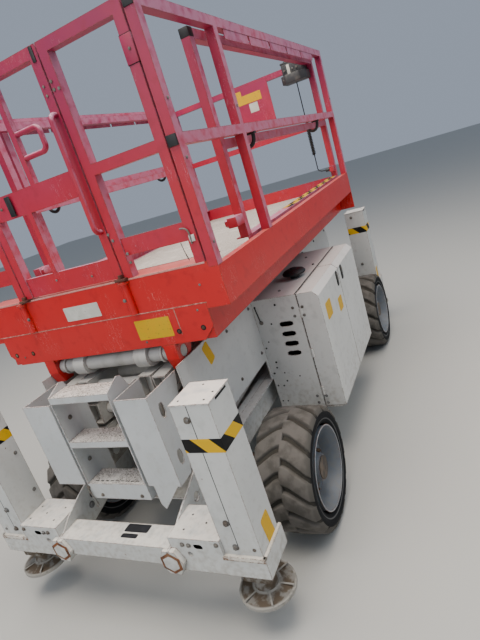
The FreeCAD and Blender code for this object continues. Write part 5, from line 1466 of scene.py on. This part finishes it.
@dataclass
class PlatformTrim:
    """Sill, worn lips, hinge irons, blank plates and screws of the platform's tail and skirts."""

    tail: float = -1.416
    half: float = 0.718
    hinges: tuple[float, ...] = (-0.2820, 0.3550)
    bolts: Pairs = (
        (-0.479, 1.306), (-0.608, 1.307), (0.479, 1.306), (0.608, 1.307))
    screws: Pairs = (
        (-0.608, 1.391), (-0.283, 1.277), (0.55, 1.29), (0.70, 1.50), (-0.66, 1.50))

    def build(self) -> None:
        """Adds the platform's trim."""
        piece = Piece("platform_trim")
        tail = self.tail
        # Faded sill behind the tail's top edge, a dark line of painted shade at the roll-out deck's rear
        # edge, and two pale lines on the tail, one across it and one upright
        piece.block(Paints.sill, (tail + 0.0005, -self.half, 1.5890), (-1.262, self.half, 1.5924), 0.8)
        piece.block(Paints.gap, (-1.2625, -self.half, 1.5880), (-1.2560, self.half, 1.5928), 0.4)
        piece.block(Paints.lip, (tail - 0.0009, -0.665, 1.4165), (tail + 0.001, 0.745, 1.4215), 0.4)
        piece.block(Paints.lip, (tail - 0.0009, -0.4925, 1.290), (tail + 0.001, -0.4875, 1.4150), 0.4)
        # Hinge irons of the gate
        for across in self.hinges:
            piece.block(Paints.pin, (-1.4405, across - 0.030, 1.5885), (-1.4050, across + 0.030, 1.6000), 2.0)
            piece.studs(Paints.pin, [(-1.4240, across, 1.5990)], UP, 0.012, 0.018, 20, 1.5)
            piece.bolts([(-1.4400, across + 0.014, 1.5000)], REAR, 0.012)
        # Top lip of the tail rubbed pale, and a dark sheet of painted shade in the channel that the roll-out
        # deck's edge runs in
        piece.block(Paints.lip, (tail - 0.0008, -0.716, 1.584), (tail + 0.006, 0.716, 1.5926), 0.5)
        for side in (-1, 1):
            piece.block(Paints.gap, (-1.404, side * 0.7085, 1.500), (1.300, side * 0.7310, 1.502), 0.3)
        piece.plate(Paints.yellow, (tail, -0.350, 1.338), RIGHT, UP, (0.196, 0.098, FILM), 3)
        piece.plate(Paints.white, (tail, 0.028, 1.480), RIGHT, UP, (0.225, 0.072, FILM), 3)
        bolts = [(tail, across, height) for across, height in self.bolts]
        piece.studs(Paints.gap, bolts, REAR, 0.013, 0.0010, 20, 0.3)
        piece.studs(Paints.iron, bolts, REAR, 0.0085, 0.0030, 6)
        screws = [(tail, across, height) for across, height in self.screws]
        piece.studs(Paints.zinc, screws, REAR, 0.006, 0.0030, 6, 0.6)
        piece.done("platform")


@dataclass
class RailTrim:
    """Caps, collars, hooks and screws of the platform's rails."""

    tube: float = 0.046
    high: float = 2.583
    mid: float = 2.072
    side: float = 0.752
    post: float = 0.698
    face: float = -1.4155
    hooks: tuple[float, ...] = (-0.60, 0.80)
    side_screws: Pairs = (
        (-1.393, 2.22), (-1.393, 2.00), (-0.737, 2.18), (1.385, 2.20), (-1.393, 1.66))
    rear_screws: Pairs = (
        (0.250, 2.045), (0.30, 2.20), (0.30, 2.16), (-0.307, 2.435), (-0.307, 2.404), (-0.333, 2.401),
        (-0.297, 1.80), (-0.31, 1.77), (-0.36, 1.70), (-0.36, 1.66))
    latch_wire: tuple[Point, ...] = (
        (-1.419, -0.655, 1.745), (-1.424, -0.690, 1.748), (-1.424, -0.698, 1.700), (-1.420, -0.690, 1.676))
    tag_wire: tuple[Point, ...] = (
        (-1.420, -0.640, 1.690), (-1.428, -0.650, 1.640), (-1.424, -0.660, 1.600), (-1.420, -0.648, 1.640))

    def build(self) -> None:
        """Adds what the rails carry, left and right."""
        piece = Piece("rail_trim")
        half = self.tube / 2
        for side in (-1, 1):
            y = side * self.side
            self.plugs(piece, y, half - 0.001)
            self.collar(piece, side * self.post, half)
            piece.studs(Paints.zinc, [(-1.4190, side * (self.post + 0.004), 2.415)], REAR, 0.006, 0.004, 6)
            for x in self.hooks:
                self.hook(piece, x, y, side, half)
            piece.studs(Paints.zinc, [(x, y + side * half, height) for x, height in self.side_screws],
                        (0, side, 0), 0.007, 0.004, 6)
        # Screws on the rear posts, then the wire latch and its pale tag on the right one
        piece.studs(Paints.zinc, [(-1.416, across, height) for across, height in self.rear_screws],
                    REAR, 0.0075, 0.004, 6)
        piece.wire(Paints.zinc, self.latch_wire, 0.0035)
        piece.block(Paints.white, (-1.423, -0.712, 1.684), (-1.417, -0.686, 1.712))
        piece.wire(Paints.zinc, self.tag_wire, 0.0018)
        piece.done("platform")

    def plugs(self, piece: Piece, y: float, half: float) -> None:
        """Closes the rear ends of the top and middle tubes with black plugs.

        Args:
            piece: The piece that takes the parts.
            y: The tubes' middle.
            half: Half the plugs' width.
        """
        piece.block(Paints.black, (-1.4205, y - half, self.high - 0.045),
                    (self.face, y + half, self.high - 0.001), 2.0)
        piece.block(Paints.black, (-1.4245, y - half, self.mid - half),
                    (self.face, y + half, self.mid + half), 2.0)

    def collar(self, piece: Piece, y: float, half: float) -> None:
        """Adds the folding joint's collar round the rear corner post, and its two dark gaps.

        Args:
            piece: The piece that takes the parts.
            y: The post's middle.
            half: Half the post's width.
        """
        low, high = 2.365, 2.465
        piece.block(Paints.rail, (-1.4190, y - half - 0.003, low), (-1.3670, y + half + 0.003, high))
        for height in (low - 0.0005, high + 0.0005):
            piece.block(Paints.gap, (-1.4182, y - half - 0.0022, height - 0.0016),
                        (-1.3678, y + half + 0.0022, height + 0.0016), 0.3)

    def hook(self, piece: Piece, x: float, y: float, side: int, half: float) -> None:
        """Hangs a rubber hook and its clip under the middle rail.

        Args:
            piece: The piece that takes the parts.
            x: Place along the rail.
            y: The rail's middle.
            side: -1 on the right, 1 on the left.
            half: Half the rail's width.
        """
        under = self.mid - half
        bend = [(x, y + side * 0.012, under), (x, y + side * 0.014, self.mid - 0.07),
                (x + 0.005, y - side * 0.03, self.mid - 0.098),
                (x + 0.010, y - side * 0.075, self.mid - 0.07), (x + 0.012, y - side * 0.078, under)]
        piece.wire(Paints.black, bend, 0.011)
        piece.block(Paints.black, (x - 0.016, y - half - 0.004, under - 0.010),
                    (x + 0.016, y + half + 0.004, under + 0.002), 3.0)


@dataclass
class GateTrim:
    """Rubber pads and screws that move with the gate."""

    screws: Pairs = ((-0.262, 2.430), (-0.262, 2.394), (0.10, 1.66), (-0.12, 1.64))

    def build(self) -> None:
        """Adds the gate's trim."""
        piece = Piece("gate_trim")
        piece.block(Paints.black, (-1.4205, 0.172, 1.998), (-1.4155, 0.206, 2.092), 2.0)
        piece.block(Paints.black, (-1.4205, -0.276, 2.520), (-1.4155, -0.258, 2.580), 2.0)
        piece.studs(Paints.zinc, [(-1.416, across, height) for across, height in self.screws],
                    REAR, 0.006, 0.004, 6)
        piece.done("gate")


@dataclass
class ExtensionTrim:
    """Hazard blocks on the ledges, caps of the posts, the floor's coat and the front panel's plates."""

    ledge: float = 1.572
    ledge_in: float = 0.642
    ledge_out: float = 0.700
    start: float = -0.12
    pitch: float = 0.1165
    blocks: int = 12
    post: float = 0.683
    # Across, height, width, depth and finish
    plates: tuple[tuple[float, float, float, float, Finish], ...] = (
        (-0.098, 2.420, 0.245, 0.072, Paints.yellow), (-0.005, 2.478, 0.070, 0.044, Paints.yellow),
        (-0.130, 2.337, 0.082, 0.076, Paints.white))

    def build(self) -> None:
        """Adds the trim of the roll-out deck."""
        piece = Piece("extension_trim")
        for side in (-1, 1):
            self.hazard_blocks(piece, side)
            # Post caps, stop bars and their bolts
            y = side * self.post
            piece.block(Paints.black, (-0.8915, y - 0.0245, 2.506), (-0.8425, y + 0.0245, 2.5495), 3.0)
            piece.block(Paints.rail, (-0.985, y - 0.026, 1.640), (-0.891, y + 0.026, 1.690), 3.0)
            piece.studs(Paints.rail, [(-0.955, y - side * 0.026, 1.665)], (0, -side, 0), 0.022, 0.020, 6, 2)
            piece.bolts([(-0.867, y - side * 0.023, 1.64)], (0, -side, 0), 0.016)
        # Worn floor coat on the roll-out deck
        piece.block(Paints.floor, (-0.888, -0.640, 1.468), (1.348, 0.640, 1.4692), 0.4)
        for across, height, wide, tall, finish in self.plates:
            piece.plate(finish, (1.300, across, height), RIGHT, UP, (wide, tall, 0.0010), 3)
        piece.done("extension")

    def hazard_blocks(self, piece: Piece, side: int) -> None:
        """Lays two rows of yellow and black blocks along one ledge, staggered as on a chessboard.

        Args:
            piece: The piece that takes the parts.
            side: -1 on the right, 1 on the left.
        """
        low = min(side * self.ledge_in, side * self.ledge_out)
        wide = (self.ledge_out - self.ledge_in) / 2
        for index in range(self.blocks):
            x = self.start + self.pitch * index
            for row in range(2):
                finish = Paints.yellow if (index + row) % 2 else Paints.gap
                edge = low + wide * row
                piece.block(finish, (x, edge, self.ledge),
                            (x + self.pitch, edge + wide, self.ledge + 0.0012), 0.3)


@dataclass
class Console:
    """Control console: bevelled box, ribbed face, palm rest, stick, switches and a blank label."""

    # Opposite corners and edge radius in millimetres of the case, its face and its lid
    shells: tuple[tuple[Point, Point, float], ...] = (
        ((1.200, -0.664, 2.440), (1.304, -0.478, 2.568), 9),
        ((1.192, -0.655, 2.452), (1.212, -0.487, 2.556), 5),
        ((1.196, -0.668, 2.556), (1.306, -0.474, 2.572), 6))
    rest_low: Point = (1.126, -0.682, 2.400)
    rest_high: Point = (1.306, -0.467, 2.468)
    rest_corner_mm: float = 48.0
    face_knobs: tuple[float, ...] = (-0.610, -0.575, -0.505)
    rest_screws: tuple[float, ...] = (-0.6272, -0.4949)

    def build(self) -> None:
        """Makes the console in place of its plain node."""
        piece = Piece("control_console")
        for corner, other, edge_mm in self.shells:
            piece.block(Paints.plastic, corner, other, edge_mm)
        for index in range(3):
            y = -0.632 + 0.022 * index
            piece.block(Paints.plastic, (1.186, y, 2.462), (1.196, y + 0.010, 2.545), 3)
        piece.block(Paints.white, (1.1895, -0.552, 2.470), (1.1935, -0.528, 2.546), 3)
        # Palm rest: a tray with cut corners under the box
        rest = cuboid(self.rest_low, self.rest_high)
        middle = (self.rest_low[0] + self.rest_high[0]) / 2
        near = [edge for edge in edges_along(rest, 2, 0.03) if edge.verts[0].co.x < middle]
        bevel(rest, near, self.rest_corner_mm, 1)
        bevel(rest, rest.edges[:], 7)
        piece.take(rest, Paints.plastic)
        # Stick with its boot, and two knobs
        piece.studs(Paints.black, [(1.245, -0.520, 2.571)], UP, 0.026, 0.010, 28, 3)
        piece.studs(Paints.black, [(1.245, -0.620, 2.571)], UP, 0.014, 0.012, 24, 2)
        piece.studs(Paints.red, [(1.290, -0.560, 2.571)], UP, 0.013, 0.010, 24, 2)
        piece.studs(Paints.zinc, [(1.1895, y, 2.505) for y in self.face_knobs], REAR, 0.0075, 0.008, 20, 1)
        piece.studs(Paints.zinc, [(1.135, y, 2.434) for y in self.rest_screws], REAR, 0.004, 0.004, 12, 0.5)
        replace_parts(piece.done("extension"), "console")


@dataclass
class FramePlates:
    """Blank plates and bolts on the tall side walls."""

    wall: float = 0.440
    # Place along and height
    bolts: Pairs = (
        (-1.40, 0.80), (-0.95, 1.10), (-0.95, 0.80), (-0.62, 1.10), (-0.62, 0.80), (0.62, 1.10), (0.62, 0.80),
        (1.0, 1.10), (1.0, 0.80), (1.40, 1.10), (1.40, 0.80))

    def build(self) -> None:
        """Adds the plates and bolts of the frame."""
        piece = Piece("frame_trim")
        piece.plate(Paints.yellow, (-1.190, -self.wall, 1.087), (1, 0, 0.35), (-0.35, 0, 1),
                    (0.062, 0.118, FILM), 12)
        piece.plate(Paints.yellow, (0.868, -self.wall, 1.165), (1, 0, 0), UP, (0.050, 0.070, FILM), 6)
        for side in (-1, 1):
            piece.bolts([(x, side * self.wall, height) for x, height in self.bolts], (0, side, 0), 0.014)
        piece.done("chassis")


@dataclass
class PowerUnits:
    """Fins, filter, belt guard, cap and straps of the two units that show when the doors are open."""

    engine_y: float = -0.710
    tank_y: float = 0.700
    fins: int = 8
    fin_gap: float = 0.030
    guard_bolts: Pairs = (
        (-0.273, 0.417), (-0.067, 0.417), (-0.273, 0.683), (-0.067, 0.683))
    straps: tuple[float, ...] = (-0.240, 0.172)

    def build(self) -> None:
        """Adds the engine's and the tank's fittings."""
        piece = Piece("power_trim")
        engine, tank = self.engine_y, self.tank_y
        for index in range(self.fins):
            low = 0.470 + self.fin_gap * index
            piece.block(Paints.greasy, (-0.020, engine - 0.016, low),
                        (0.215, engine + 0.002, low + 0.007), 1.2)
        # Belt guard with its bolts, and the oil filter
        piece.block(Paints.greasy, (-0.290, engine - 0.012, 0.400), (-0.050, engine + 0.002, 0.700), 5.0)
        piece.bolts([(x, engine - 0.012, height) for x, height in self.guard_bolts], RIGHT, 0.012)
        piece.studs(Paints.zinc, [(0.100, engine, 0.415)], RIGHT, 0.036, 0.050, 32, 4.0)
        # Valve cover with its filler cap
        piece.block(Paints.greasy, (-0.250, -0.680, 0.880), (0.180, -0.520, 0.915), 6.0)
        piece.studs(Paints.plastic, [(0.090, -0.600, 0.914)], UP, 0.024, 0.020, 24, 3.0)
        # Straps over the tank, and its cap
        for x in self.straps:
            piece.block(Paints.zinc, (x - 0.016, 0.478, 0.789), (x + 0.016, tank + 0.003, 0.7945), 0.6)
            piece.block(Paints.zinc, (x - 0.016, tank - 0.002, 0.363), (x + 0.016, tank + 0.003, 0.7945), 0.6)
        piece.studs(Paints.plastic, [(0.060, 0.600, 0.790)], UP, 0.034, 0.028, 32, 4.0)
        piece.done("chassis")


def main() -> None:
    """Builds the studio, the finishes and every fitting in order."""
    logging.basicConfig(level=logging.INFO, format="%(message)s")
    Studio().build()
    ConsoleCord().build()
    paint_nodes()
    axle, track, height = 1.123, 0.730, 0.330
    for end in End:
        end_name = end.name.lower()
        for side in Side:
            corner = f"{end_name}_{side.name.lower()}"
            centre = (end.value * axle, side.value * track, height)
            Tyre(f"tyre_{corner}", f"wheel_{corner}", centre).build()
            Wheel(f"wheel_nuts_{corner}", f"wheel_{corner}", centre, side.value).build()
            Column(f"column_trim_{corner}", end, side).build()
        EndBeam(f"beam_trim_{end_name}", end).build()
    for side in Side:
        SideBox(side).build()
    for assembly in (RearSteps, FramePlates, PowerUnits, PlatformTrim, RailTrim, GateTrim, ExtensionTrim,
                     Console):
        assembly().build()


if __name__ == "__main__":
    main()
